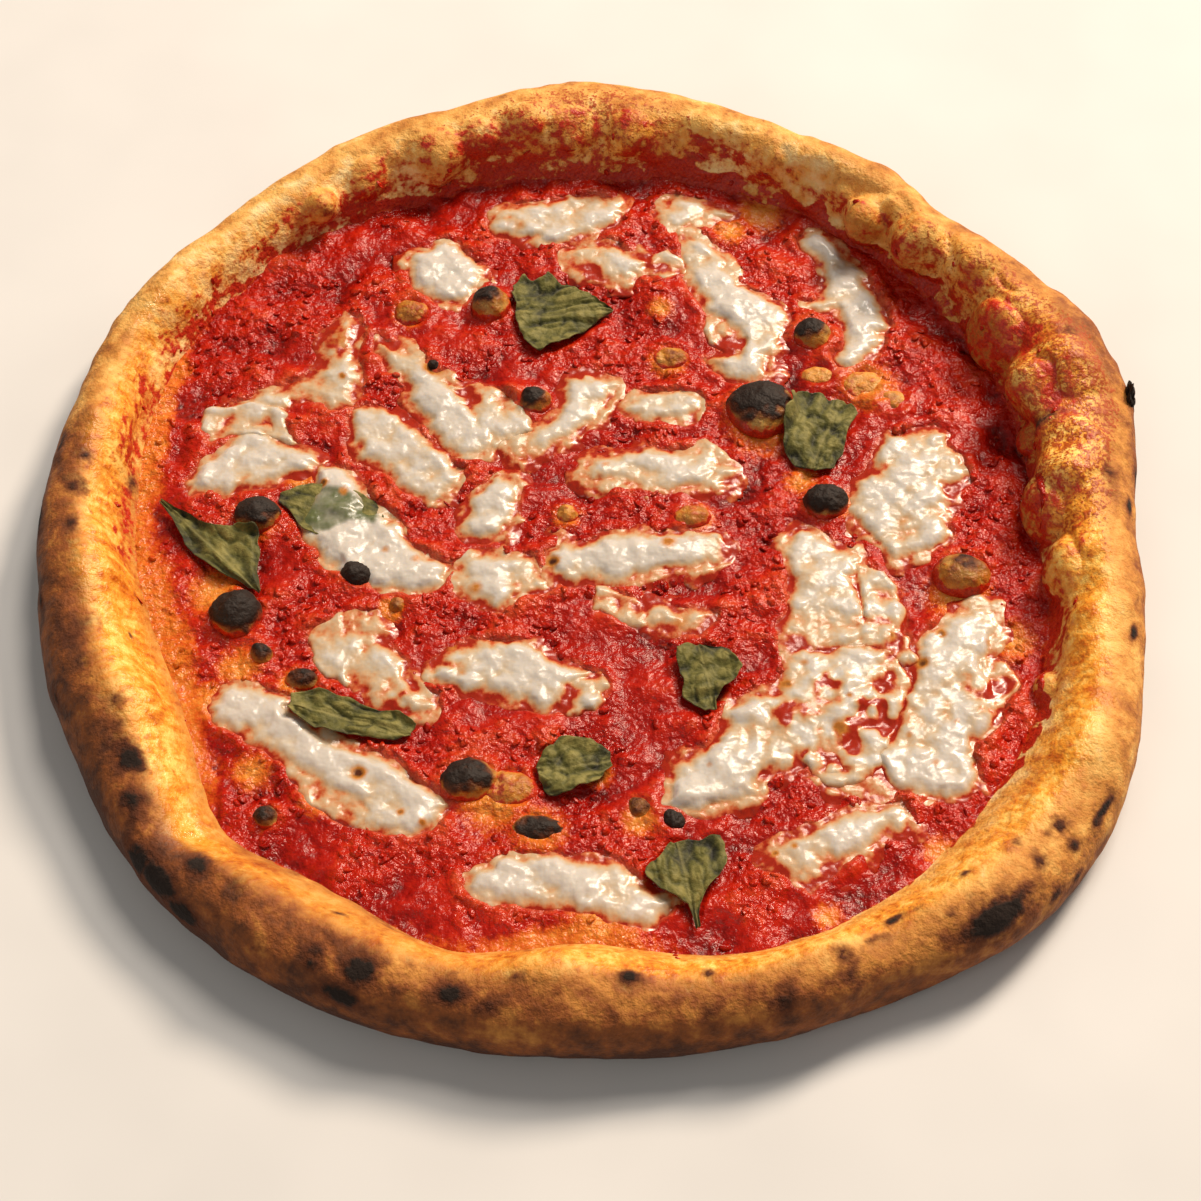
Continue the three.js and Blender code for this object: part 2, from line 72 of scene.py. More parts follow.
# Gas bubbles that swell the rim: degrees, step up the profile, reach, height.
BULGES = [
    (52, 2.55, 6, 5), (44.5, 2.5, 9, 4), (36, 2.4, 8, 5), (29, 2.35, 7, 3.5), (20, 2.1, 10, 3),
    (18, 2.55, 9, 6), (11.5, 2.5, 7, 5), (3, 2.5, 10, 6), (352, 2.5, 9, 3.5), (343, 2.4, 8, 2),
    (126.5, 2.55, 5, 4), (110, 2.45, 10, 3.5), (97, 2.35, 9, 3), (84, 2.4, 11, 3),
    (68, 2.5, 9, 2), (150, 2.2, 9, 2), (170, 2.3, 12, 3), (190, 2.3, 10, 2.5),
    (207, 2.1, 12, 2.5), (236, 1.9, 9, 2), (250, 1.5, 12, 2), (266, 2.3, 10, 2.5),
    (290, 1.6, 14, 2), (309, 1.5, 12, 2), (329, 2, 12, 2.5), (225, 2.2, 8, -4),
    (139, 1.7, 10, -1.5), (300, 2.2, 8, -1.5), (60, 1.8, 8, 2), (53, 1.5, 9, 3.5),
    (24, 1.5, 12, 3)]
print("gas bubbles and hollows in the rim:", len(BULGES))

# %% Curves and soft steps
def smooth(low, high, value):
    """0 below low, 1 above high and a soft step between them."""
    t = np.clip((value - low) / (high - low), 0, 1)
    return t * t * (3 - 2 * t)


def around(values, angle):
    """A closed smooth curve through values that are evenly spaced round the circle."""
    values = np.asarray(values, float)
    t = angle / (2 * np.pi) % 1 * len(values)
    i = np.floor(t).astype(int)
    f = t - i
    a, b, c, d = (values[(i + k) % len(values)] for k in (-1, 0, 1, 2))
    return 0.5 * (2 * b + (c - a) * f + (2 * a - 5 * b + 4 * c - d) * f ** 2
                  + (3 * b - a - 3 * c + d) * f ** 3)


spacing = np.linspace(0, 2 * np.pi, 240, endpoint=False)
print("rim radius from", round(around(RIM_RADIUS, spacing).min(), 1), "to",
      round(around(RIM_RADIUS, spacing).max(), 1), "mm")


# %% Random relief
def draw(cells, seed):
    """A repeatable draw from 0 to 1 for each row of whole numbers."""
    n = np.sin(cells @ np.array([127.1, 311.7, 74.7]) + seed * 19.19) * 43758.5453
    return n - np.floor(n)


def lumps(points, size, seed=0):
    """Smooth random relief from -1 to 1, with features about size mm across."""
    q = points / size
    cell = np.floor(q)
    f = q - cell
    f = f * f * (3 - 2 * f)
    total = np.zeros(len(q))
    for corner in product((0, 1), repeat=3):
        weight = np.prod(np.where(corner, f, 1 - f), axis=1)
        total += weight * draw(cell + corner, seed)
    return total * 2 - 1


def pebbles(points, size, seed=0):
    """Rounded grains size mm apart on the XY plane: 1 on top of a grain, 0 between grains."""
    q = points[:, :2] / size
    cell = np.floor(q)
    nearest = np.full(len(q), 9.0)
    for corner in product((-1, 0, 1), repeat=2):
        there = np.column_stack([cell + corner, np.zeros(len(q))])
        heart = there[:, :2] + 0.15 + 0.7 * np.column_stack(
            [draw(there, seed), draw(there, seed + 5)])
        nearest = np.minimum(nearest, np.linalg.norm(q - heart, axis=1))
    return np.sqrt(1 - np.clip(nearest / 0.95, 0, 1) ** 2)


print("relief at three places:", lumps(np.eye(3) * 5, 4).round(2).tolist())

# %% [markdown]
# ## One way to make every mesh
# Each piece is a list of corners and faces, with a few values painted on its corners, such as
# how burnt the dough is there. The materials read those values by name. The object stays at
# the origin, and its place is in its mesh.

# %% From corners to a piece
def make_piece(name, points, faces, material, slot=None, stands_for=(), **painted):
    """A piece from corners in mm and faces; painted gives each corner its values."""
    mesh = bpy.data.meshes.new(name)
    mesh.from_pydata(((points + CENTRE) / 1000).tolist(), [], faces)
    for label, values in painted.items():
        values = np.asarray(values, np.float32)
        kind, field = ("FLOAT", "value") if values.ndim == 1 else ("FLOAT_VECTOR", "vector")
        layer = mesh.attributes.new(label, kind, "POINT")
        layer.data.foreach_set(field, values.ravel())
    return finish_piece(name, mesh, material, stands_for)


def finish_piece(name, mesh, material, stands_for=()):
    """Puts a mesh in the scene and hides the solid pieces that it stands for."""
    mesh.shade_smooth()
    if not mesh.materials:
        mesh.materials.append(material)
    piece = bpy.data.objects.new(name, mesh)
    bpy.context.scene.collection.objects.link(piece)
    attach(piece, "root")
    if stands_for:
        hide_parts(*stands_for)
    return piece


def grid_faces(nu, nv, closed=False):
    """Quads of a grid of nu by nv corners; closed joins the last column to the first."""
    index = np.arange(nu * nv).reshape(nu, nv)
    if closed:
        index = np.vstack([index, index[:1]])
    return np.stack([index[:-1, :-1], index[1:, :-1], index[1:, 1:], index[:-1, 1:]],
                    -1).reshape(-1, 4)


def closed_slab(top, bottom, faces):
    """Corners and faces of a closed body between two sheets, and which corners it used."""
    used = np.unique(faces)
    renumber = np.zeros(len(top), int)
    renumber[used] = np.arange(len(used))
    faces = renumber[faces]
    top, bottom = top[used], bottom[used]
    sides = np.concatenate([faces[:, [k, (k + 1) % 4]] for k in range(4)])
    low, high = sides.min(1), sides.max(1)
    _, where, count = np.unique(low * len(top) + high, return_index=True, return_counts=True)
    a, b = sides[where[count == 1]].T
    walls = np.stack([b, a, a + len(top), b + len(top)], -1)
    corners = np.vstack([top, bottom])
    return corners, np.vstack([faces, faces[:, ::-1] + len(top), walls]).tolist(), used


print("a slab on a 3 by 3 grid has", len(closed_slab(
    np.zeros((9, 3)), np.zeros((9, 3)), grid_faces(3, 3))[1]), "faces")

# %% [markdown]
# ## Materials as recipes
# A material is a small tree of nodes. One function adds a node, sets its fields and feeds its
# sockets, so a recipe reads from top to bottom. Colours are written as they look on a screen
# and turned to the linear values that light works in. Patterns are placed by Object
# coordinates, and their scale is one over the real size in metres.

# %% Tools for the recipes
def colour(code):
    """A screen colour such as d9a860, as linear red, green, blue and 1."""
    parts = [int(code[i:i + 2], 16) / 255 for i in (0, 2, 4)]
    return [p / 12.92 if p <= 0.04045 else ((p + 0.055) / 1.055) ** 2.4 for p in parts] + [1]


def add(tree, kind, inputs=None, stops=None, **fields):
    """Adds a node. inputs gives each socket a value, or the socket that feeds it."""
    node = tree.nodes.new(kind)
    for field, value in fields.items():
        setattr(node, field, value)
    for socket, value in (inputs or {}).items():
        if isinstance(value, bpy.types.NodeSocket):
            tree.links.new(value, node.inputs[socket])
        else:
            node.inputs[socket].default_value = value
    if stops:
        band = node.color_ramp
        while len(band.elements) < len(stops):
            band.elements.new(1)
        for element, (place, code) in zip(band.elements, stops):
            element.position, element.color = place, colour(code)
    return node


def new_recipe(name):
    """A material with an empty tree, that tree, and its Object coordinates."""
    material = bpy.data.materials.new(name)
    material.use_nodes = True
    tree = material.node_tree
    tree.nodes.clear()
    place = add(tree, "ShaderNodeTexCoord").outputs["Object"]
    return material, tree, place


print("golden crust in linear light:", [round(c, 3) for c in colour("d9a860")[:3]])


# %% Patterns and layers
def mm(size):
    """The scale of a pattern whose features are size mm across."""
    return 1000 / size


def painted_value(tree, label):
    """A value that was painted on the corners of the mesh."""
    return add(tree, "ShaderNodeAttribute", attribute_name=label).outputs["Fac"]


def noise(tree, place, size, detail=3, roughness=0.6):
    """A cloudy pattern, as its value from 0 to 1, with features size mm across."""
    return add(tree, "ShaderNodeTexNoise", {"Vector": place, "Scale": mm(size), "Detail": detail,
                                            "Roughness": roughness}).outputs[0]


def both(tree, pattern, weight, painted):
    """A painted value with a weighted pattern added to it, so that its edge is broken up."""
    return add(tree, "ShaderNodeMath", {0: pattern, 1: weight, 2: painted},
               operation="MULTIPLY_ADD").outputs[0]


def lay_over(tree, under, over, amount, low, high):
    """Lays one colour over another where the amount passes from low to high. Gives the mix
    and how much of the upper colour there is."""
    mask = add(tree, "ShaderNodeMapRange", {0: amount, 1: low, 2: high}).outputs[0]
    mixed = add(tree, "ShaderNodeMix", {0: mask, 6: under, 7: over}, data_type="RGBA")
    return mixed.outputs[2], mask


print("a pattern with features 5 mm across has scale", mm(5))

# %% [markdown]
# ## Baked dough
# The crust of a wood-oven pizza is matte and floury outside, pale where it puffed and brown
# where it touched hot air. Oil and tomato run up its inner wall, which turns orange and
# glossy, and the highest bubbles burn black. Noise alone would put those marks anywhere, so
# the mesh carries painted values: toast (how brown, with painted shade added on the
# lower half of the rim), oil (how soaked), stain (how much sauce is splashed there), speck
# (rusty freckles), char (how burnt) and wet (a puddle of oil). Noise then breaks each of them
# up, so that no edge looks airbrushed. The value named wrapped is a place on a small model of
# the crust: stretched one way it gives streaks that run down the wall, and stretched the other
# way it gives dashes along the rim.

# %% Recipe: baked dough
dough_finish, tree, place = new_recipe("baked_wheat_dough")
toast, oil, stain, speck, char, wet = (
    painted_value(tree, label) for label in ("toast", "oil", "stain", "speck", "char", "wet"))
patches, mottle, freckle, grain = (noise(tree, place, size) for size in (16, 5, 2.4, 0.9))
wrapped = add(tree, "ShaderNodeAttribute", attribute_name="wrapped").outputs["Vector"]
down_slope, along_rim = (
    add(tree, "ShaderNodeVectorMath", {0: wrapped, 1: squeeze}, operation="MULTIPLY").outputs[0]
    for squeeze in ((1, 1, 0.4), (0.35, 0.35, 1)))
streaks, dashes = noise(tree, down_slope, 3, 4), noise(tree, along_rim, 1.9)

# Bare crust goes from floury straw to dark brown, and oil turns it amber.
# The browning value also holds painted shade: it is raised on the lower half of the rim.
baked = both(tree, patches, 0.7, toast)
baked = both(tree, mottle, 0.75, baked)
baked = both(tree, grain, 0.14, baked)
skin = add(tree, "ShaderNodeValToRGB", {0: both(tree, baked, 0.95, -0.55)},
           stops=[(0.05, "f4d89c"), (0.26, "e4ae5c"), (0.46, "c48236"), (0.68, "8b4a17"),
                  (0.92, "48220a")]).outputs[0]
soaked = both(tree, mottle, 0.8, both(tree, streaks, 0.4, oil))
gold = both(tree, streaks, 0.6, both(tree, freckle, 0.5, both(tree, patches, 0.5, -0.2)))
amber = add(tree, "ShaderNodeValToRGB", {0: gold},
            stops=[(0.46, "ffd270"), (0.6, "f0a234"), (0.76, "c8660f"), (0.9, "93410c")]).outputs[0]
skin, oiled = lay_over(tree, skin, amber, soaked, 0.85, 1.5)

# Dried drops leave rusty freckles, and sauce leaves red marks with an orange stain round them.
rust = both(tree, grain, 0.9, both(tree, freckle, 0.6, speck))
skin, _ = lay_over(tree, skin, colour("a8470f"), rust, 1.34, 1.46)
splash = both(tree, dashes, 0.6, both(tree, freckle, 0.5, both(tree, mottle, 0.6, stain)))
pulpy = both(tree, grain, 0.9, both(tree, freckle, 0.5, -0.3))
tomato = add(tree, "ShaderNodeValToRGB", {0: pulpy},
             stops=[(0.1, "8c1003"), (0.4, "b82206"), (0.75, "d04a18")]).outputs[0]
skin, _ = lay_over(tree, skin, colour("c65c1c"), splash, 1.22, 1.38)
skin, splashed = lay_over(tree, skin, tomato, splash, 1.32, 1.4)

# A burn is brown at its edge and black in the middle.
burn = both(tree, mottle, 0.9, both(tree, freckle, 0.55, char))
skin, scorched = lay_over(tree, skin, colour("5a2a0d"), burn, 0.84, 1.25)
skin, charred = lay_over(tree, skin, colour("1a0b03"), burn, 1.2, 1.5)

# Dry starch scatters light, so bare crust is matte. Oil and tomato fill its pores and shine,
# charcoal is dead matte, and a puddle of oil is as smooth as a liquid.
dull = add(tree, "ShaderNodeMix", {0: oiled, 2: 0.75, 3: 0.34}).outputs[0]
dull = add(tree, "ShaderNodeMix", {0: splashed, 2: dull, 3: 0.42}).outputs[0]
dull = add(tree, "ShaderNodeMix", {0: scorched, 2: dull, 3: 0.9}).outputs[0]
dull = add(tree, "ShaderNodeMix", {0: wet, 2: dull, 3: 0.1}).outputs[0]
crumb = both(tree, freckle, 1.5, both(tree, charred, 0.5, both(tree, grain, 0.5, 0)))
crumb = both(tree, streaks, 0.3, crumb)
relief = add(tree, "ShaderNodeBump", {"Height": crumb, "Strength": 0.7, "Distance": 0.8 * MM})
surface = add(tree, "ShaderNodeBsdfPrincipled", {
    "Base Color": skin, "Roughness": dull, "Normal": relief.outputs[0], "IOR": 1.45,
    "Subsurface Weight": 0.1, "Subsurface Radius": (1, 0.6, 0.3), "Subsurface Scale": 2 * MM})
add(tree, "ShaderNodeOutputMaterial", {0: surface.outputs[0]})
print("nodes in the baked dough:", len(tree.nodes))

# %% [markdown]
# ## The rim
# A cook pushes the gas of the dough to the edge, where it puffs up in the oven. Its profile
# curls in under itself, swells to its widest point, goes over the crest and runs down to the
# foot, where the sauce begins. Spinning one profile round an axis could make it, but every
# slice is different, so the corners are worked out one by one from the lists, and then pushed
# out by bubbles, puffs and wrinkles.

# %% The profile and its bulges
def rim_profile(angle, step):
    """Radius and height: 0-1 from underside to widest, 1-2 to the crest, 2-3 to the foot."""
    outer, foot, height = (around(v, angle) for v in (RIM_RADIUS, FOOT_RADIUS, CREST))
    crest, widest = outer - CREST_IN * (outer - foot), WIDEST * height
    under = np.clip(step, 0, 1) * np.pi / 2
    over = np.clip(step - 1, 0, 1) * np.pi / 2
    down = np.clip(step - 2, 0, 1)
    radius = np.select([step <= 1, step <= 2], [
        outer - TUCK + TUCK * np.sin(under) ** ROUNDNESS,
        crest + (outer - crest) * np.cos(over).clip(0) ** ROUNDNESS],
        crest - (crest - foot) * down)
    rise = np.select([step <= 1, step <= 2], [
        widest * (1 - np.cos(under).clip(0) ** ROUNDNESS),
        widest + (height - widest) * np.sin(over) ** ROUNDNESS],
        BASE + (height - BASE) * (1 - down ** 2) ** 1.5)
    return radius, rise


def at_angle(radius, angle, height):
    """Corners that lie a radius from the axis, in the direction of an angle."""
    return np.stack([radius * np.cos(angle), radius * np.sin(angle), height], -1)


def rim_surface(angle, step):
    """Corners of the rim with its bulges, and the direction away from the dough's core."""
    radius, rise = rim_profile(angle, step)
    bare = at_angle(radius, angle, rise)
    outer, foot = around(RIM_RADIUS, angle), around(FOOT_RADIUS, angle)
    core = at_angle(outer - CORE_IN * (outer - foot), angle, CORE_UP * around(CREST, angle))
    push = 0.5 * np.sin(9 * angle + 2.1 * step) + 0.4 * np.sin(17 * angle - 2 * step + 1)
    for degrees, place, reach, height in BULGES:
        turn = np.radians([degrees])
        from_axis, above = rim_profile(turn, np.array([place]))
        centre = at_angle(from_axis, turn, above)
        push += height * np.exp(-((bare - centre) ** 2).sum(-1) / reach ** 2)
    push *= smooth(0.5, 1.1, step) * (1 - smooth(2.5, 2.8, step))
    away = bare - core
    away /= np.linalg.norm(away, axis=-1, keepdims=True)
    return bare + away * push[..., None], away


SECTORS = 640
rim_steps = np.concatenate([np.linspace(0, 1, 26, endpoint=False),
                            np.linspace(1, 2, 50, endpoint=False), np.linspace(2, 3, 66)])
angles = np.linspace(0, 2 * np.pi, SECTORS, endpoint=False)
angle, step = (a.ravel() for a in np.meshgrid(angles, rim_steps, indexing="ij"))
skin_points, away = rim_surface(angle, step)
print("rim corners:", len(skin_points), "highest", round(skin_points[:, 2].max(), 1), "mm")

# %% [markdown]
# Small puffs, wrinkles and pits go on top. They fade out towards the flat underside and the
# foot, so that the pizza still lies flat and the sauce still meets the wall.

# %% Puffs and wrinkles
def scattered(count, seed):
    """Repeatable draws from 0 to 1, one for each of count things."""
    return draw(np.arange(count)[:, None] * [1.0, 0, 0], seed)


def puffs(count, turn_from, turn_to, step_from, step_to, smallest, largest, seed):
    """Small gas bubbles on a stretch of the rim, as places and sizes."""
    turn = np.radians(turn_from + (turn_to - turn_from) * scattered(count, seed))
    place = step_from + (step_to - step_from) * scattered(count, seed + 1)
    size = smallest + (largest - smallest) * scattered(count, seed + 2) ** 2
    return rim_surface(turn, place)[0], size


# Groups of puffs: how many, degrees from and to, step from and to, smallest, largest, seed.
PUFFS = [(60, 0, 360, 1.3, 2.7, 2, 4, 3), (70, -20, 125, 2.25, 2.85, 2, 4, 9),
         (30, 150, 340, 2.3, 2.85, 2, 4.5, 13)]
LOBE_REACH, LOBE_HEIGHT = 1.12, 1.6  # how much the lobes below grew in the oven

# Larger bubbles with a crease round them: degrees, step, reach, height.
LOBES = [(52, 2.6, 7.5, 3.4), (43.8, 2.5, 9.5, 3.4), (48, 2.2, 6, 1.6), (27.5, 2.6, 10, 4),
         (16.5, 2.15, 10, 1.8), (17.2, 2.55, 10, 3.2), (6, 2.42, 12, 2.6), (12.5, 2.76, 5, 3),
         (1, 2.72, 10, 4.2), (351, 2.6, 8, 2), (336, 2.79, 5, 2.5), (36, 2.15, 7, 1),
         (98, 2.3, 6, 1.3), (104, 2.38, 6, 1.4), (92, 2.4, 7, 1.2), (110, 2.5, 9, 2.2),
         (119, 2.45, 6, 1.8), (126, 2.55, 6, 2.2), (85, 2.45, 7, 1.2), (76, 2.3, 6, 1)]

puffed = np.zeros(len(angle))
for degrees, place, reach, height in LOBES:
    heart = rim_surface(np.radians([degrees]), np.array([place]))[0][0]
    gap = ((skin_points - heart) ** 2).sum(1) / (LOBE_REACH * reach) ** 2
    puffed = np.maximum(puffed, LOBE_HEIGHT * height * np.clip(1 - gap, 0, 1) ** 0.7)
for group in PUFFS:
    for heart, size in zip(*puffs(*group)):
        gap = ((skin_points - heart) ** 2).sum(1)
        near = gap < (1.6 * size) ** 2
        puffed[near] += 0.2 * size * np.exp(-(gap[near] / size ** 2) ** 1.3)
lobed_side = smooth(0.45, 0.95, np.cos(angle - np.radians(28))) * smooth(1.8, 2.3, step)
crease = 1 - np.abs(lumps(skin_points, 13, 7)) * 5
wrinkle = (0.6 * lumps(skin_points, 12, 1) + 0.3 * lumps(skin_points, 5.5, 2)
           + 0.1 * lumps(skin_points, 2.4, 3) - 1.3 * lobed_side * np.clip(crease, 0, 1))
fade = smooth(0.25, 0.9, step) * (1 - smooth(2.75, 2.98, step))
skin_points = skin_points + away * ((puffed + wrinkle) * fade)[:, None]
print("lobes:", len(LOBES), "puffs:", sum(group[0] for group in PUFFS), "highest point now",
      round(skin_points[:, 2].max(), 1), "mm")

# %% [markdown]
# ## Painting the crust
# Where it browned, where oil and tomato splashed and where it burnt is painted from given
# values. A brush in Blender could do it, but then the marks couldn't be read or changed here.
# Lists of 24 values go round the pizza every 15 degrees, and each burn mark has a place, a size
# along and across the rim, and a strength.

# %% Where the crust browned, soaked up oil and was splashed
# TOAST, OIL, SPECKS and SPLASH are amounts. SPLASH_TOP is the step up the wall that the
# splashes reach, and SAUCED is the step below which the wall is all sauce.
TOAST = [.32, .44, .36, .26, .2, .2, .22, .22, .18, .13, .16, .3,
         .54, .54, .55, .56, .52, .46, .42, .42, .34, .24, .2, .22]
OIL = [1, .9, .7, .5, .45, .6, .7, .5, .45, .65, .75, .85,
       .95, 1.1, 1.1, .8, .55, .6, 1, 1, .9, .9, .95, 1]
SPECKS = [.62, .66, .6, .52, .4, .5, .6, .5, .35, .35, .3, .45,
          .35, .3, .2, .1, .1, .3, .45, .35, .2, .15, .2, .4]
SPLASH = [.42, .44, .42, .38, .38, .44, .46, .46, .44, .42, .38, .38,
          .36, .3, .25, .1, .1, .12, .3, .25, .22, .22, .3, .42]
SPLASH_TOP = [1.95, 1.9, 2, 2.1, 2.2, 2.1, 1.95, 2, 2.1, 2.2, 2.25, 2.15,
              2.15, 2.4, 2.5, 2.7, 2.75, 2.75, 2.4, 2.6, 2.6, 2.6, 2.5, 2.2]
SAUCED = [2.84, 2.86, 2.86, 2.84, 2.84, 2.84, 2.82, 2.84, 2.84, 2.86, 2.94, 3.04,
          3.2, 3.3, 3.3, 3.1, 3.1, 3.2, 3.2, 3.1, 3, 2.94, 2.84, 2.82]

# Burn marks: degrees, step, half length along the rim, half width across it, strength.
BURNS = [
    (308.2, 1.58, 10.5, 4.4, 1.1), (323.5, 1.48, 5.4, 1.4, .95), (319.2, 1.85, 2.2, 2, .7),
    (318.8, 1.55, 2.4, 2, .65), (317.8, 1.9, 1.5, 1.3, .4), (315, 2.08, 2, 1.6, .65),
    (315, 1.76, 2.6, 2.4, .65),
    (317.5, 1.2, 2.2, 1.5, .75), (314.5, 1.3, 2.4, 1.9, .9), (300.8, 2.25, 2.9, 1.8, .75),
    (303.2, 2.18, 1.5, 1, .5), (305.2, 1.88, 2, 1.4, .5), (309.2, 2.23, 1.8, 1.3, .55),
    (297.8, 2.04, 4.3, 1.4, .4), (294.2, 2, 2.6, 3, .5), (294.2, 1.66, 3.6, 3.4, .6),
    (291.8, 1.73, 3, 2.8, .35), (287.5, 1.61, 4.3, 3.2, .7), (299.8, 1.41, 1.4, 1.5, .3),
    (308.8, .85, 5.4, 1.8, .55), (274.2, 2.05, 2.6, 1.8, .95), (263.5, 2.02, 1.8, 2, .5),
    (257.3, 1.81, 3.6, 2.8, .95), (261, 1.7, 3.3, 2.2, .65), (281, 1.59, 2.7, 2.7, .5),
    (281.8, 2.18, 2.1, 1.8, .5), (271.8, 1.64, 1.8, 2, .25), (283.5, 2.48, 1.8, 1.3, .4),
    (215.2, 1.98, 5.2, 3.2, 1.05), (219.5, 1.8, 5, 4, .7), (229, 1.96, 3.6, 3.2, 1),
    (227, 1.4, 7, 4.5, 1.15), (223.8, 1.38, 5, 4.5, 1.1), (230.5, 1.25, 6, 3.4, 1.05),
    (234, 1.59, 1.5, 1.4, .5), (233.2, 1.99, 1.8, 1.4, .35), (243.8, 2.45, 2.1, 1.3, .5),
    (244, 1.8, 2.6, 2.2, .85), (244.3, 1.62, 2.8, 2, .8), (248.8, 1.8, 4, 3.6, 1.1),
    (247.5, 1.41, 6, 3, 1), (239, 1.49, 1.8, 1.4, .4), (239, 1.11, 2, 1.8, .35),
    (217, 1.31, 2.8, 2.4, .4), (209, 2.08, 2.4, 2.1, .5), (211.3, 1.98, 2.4, 2.4, .5),
    (245, 1.98, 3.3, 2.5, .4), (253.3, 1.99, 2.3, 2, .3), (257.5, 2.08, 1.8, 1.3, .3),
    (175, 2.09, 2.2, 2, .6), (179.5, 2.01, 3.3, 3.2, .65), (174.2, 2.8, 2.6, 3, .6),
    (184.5, 1.99, 2.8, 2.2, .6), (182, 1.35, 6, 2, 1), (172.8, 1.55, 4, 1.6, .8),
    (192.2, 1.35, 2.8, 1.3, .9), (204.2, 1.3, 3, 1.4, .9), (198.2, 1.81, 4.8, 4.1, .4),
    (197.5, 2.04, 2.9, 3.4, .3), (198.8, 2.55, .8, .8, .9), (359, 1.48, 2.4, 1.2, .95),
    (343, 1.6, 2, 1.3, .85), (347, 1.55, 1.7, .9, .4), (11.5, 2.5, 2.4, 6, .75),
    (21, 1.99, 2.6, 3, .5), (126.3, 2.55, 2.4, 3, .5), (52, 2.51, 1.9, 1.9, .35),
    (2.5, 1.85, 5.6, 2, .5), (4, 1.2, 3.6, 1.6, .8), (13, 1.15, 4, 2.4, .9)]

# Puddles and streaks of oil, written in the same way.
OIL_MARKS = [(225, 2.34, 8, 5, 1), (152, 2.08, 9, 2.6, .9), (326.5, 2.12, 13, 1.8, .9),
             (57, 2.1, 8, 2, .7), (64, 2.05, 5, 1.5, .6), (40, 2.2, 6, 2, .6),
             (20, 2.3, 5, 2, .5), (172, 2.08, 7, 2, .7), (192, 2.07, 6, 2, .6),
             (262, 2.2, 5, 1.4, .4)]
print("burn marks:", len(BURNS), "oil marks:", len(OIL_MARKS))

# %% Painting by those lists
def mark_at(points, marks, widened=1.0):
    """The strongest mark at each point, from marks placed on the rim."""
    strongest = np.zeros(len(points))
    for degrees, place, along, across, strength in marks:
        turn = np.radians(degrees)
        heart = rim_surface(np.array([turn]), np.array([float(place)]))[0][0]
        gap = points - heart
        tangent = np.array([-np.sin(turn), np.cos(turn), 0])
        forward = gap @ tangent
        aside = np.sqrt(np.maximum((gap ** 2).sum(1) - forward ** 2, 0))
        spread = (forward / along) ** 2 + (aside / across) ** 2
        strongest = np.maximum(strongest, strength * np.exp(-0.75 * spread / widened ** 2))
    return strongest


inner = smooth(1.75, 2.35, step)
wobble = lumps(skin_points, 9, 8)
shaded_low_half = 1 - smooth(0.7, 1.7, step)
# The lower half of the rim gets 0.3 more browning, which is painted shade.
toast = (around(TOAST, angle) + 0.3 * shaded_low_half - 0.18 * inner + 0.05 * puffed
         + 0.18 * mark_at(skin_points, BURNS, 1.5))
higher = 0.16 * smooth(0.5, 0.95, np.cos(angle))  # the oil ran higher on the +X side
oil = around(OIL, angle) * np.exp(-((step - 2.44 + higher) / 0.44) ** 2)
top = around(SPLASH_TOP, angle) + 0.12 * wobble
splashed = smooth(top - 0.15, top + 0.35, step)
speck = around(SPECKS, angle) * smooth(top - 0.5, top, step)
stain = around(SPLASH, angle) * splashed * (1 + 0.35 * wobble)
sauced = (around(SAUCED, angle) + 0.2 * wobble + 0.16 * lumps(skin_points, 4.5, 18)
          + 0.08 * lumps(skin_points, 2.2, 19))
stain = np.maximum(stain, smooth(sauced - 0.16, sauced + 0.08, step) * 1.1)
stain += 0.06 * smooth(2.3, 2.8, step) * smooth(0.25, 0.4, around(SPLASH, angle))
# Drops of pulp are thrown only where the wall is stained.
drops = np.clip(stain, 0, 1) * (0.4 + lumps(skin_points, 6, 9)).clip(0, 1)
drops *= smooth(2.2, 2.5, step)
char = mark_at(skin_points, BURNS)
wet = mark_at(skin_points, OIL_MARKS)
print("burnt corners:", int((char > 0.5).sum()))

# %% [markdown]
# ## One closed body
# The rim becomes one body with the base: rings run in from the tucked edge to the middle of
# the underside, and from the foot to the middle of the floor under the sauce. An open ring
# would be lighter, but its underside would show as a hole from below.

# %% Closing the crust
def ring(radius_list, share, height):
    """A level ring of corners, at a share of a radius that changes all the way round."""
    return at_angle(share * radius_list, angles, np.full(SECTORS, height))


under_edge = rim_profile(angles, np.zeros(SECTORS))[0]
foot_edge = around(FOOT_RADIUS, angles)
UNDER_RINGS, FLOOR_RINGS = (0.15, 0.4, 0.65, 0.85, 0.95), (0.97, 0.6)
rim_grid = skin_points.reshape(SECTORS, len(rim_steps), 3)
under = np.stack([ring(under_edge, s, 0) for s in UNDER_RINGS], 1)
floor_rings = np.stack([ring(foot_edge, s, BASE) for s in FLOOR_RINGS], 1)
crust_grid = np.concatenate([under, rim_grid, floor_rings], 1)
rows = crust_grid.shape[1]
crust_points = np.vstack([crust_grid.reshape(-1, 3), [[0, 0, 0], [0, 0, BASE]]])
low, high = len(crust_points) - 2, len(crust_points) - 1
first, last = np.arange(SECTORS) * rows, np.arange(SECTORS) * rows + rows - 1
crust_faces = (grid_faces(SECTORS, rows, closed=True).tolist()
               + [[low, int(b), int(a)] for a, b in zip(first, np.roll(first, -1))]
               + [[int(a), int(b), high] for a, b in zip(last, np.roll(last, -1))])

# The place on the small model of the crust, which the streaks and dashes are drawn on.
row_steps = np.concatenate([np.linspace(-1, -0.1, len(UNDER_RINGS)), rim_steps,
                            3 + np.arange(1, len(FLOOR_RINGS) + 1) * 0.1])
MODEL_RADIUS, MODEL_STEP = 140 * MM, 22 * MM
wrapped = at_angle(MODEL_RADIUS, np.repeat(angles, rows),
                   MODEL_STEP * np.tile(row_steps, SECTORS))
wrapped = np.vstack([wrapped, [[0, 0, -0.03], [0, 0, 0.08]]])


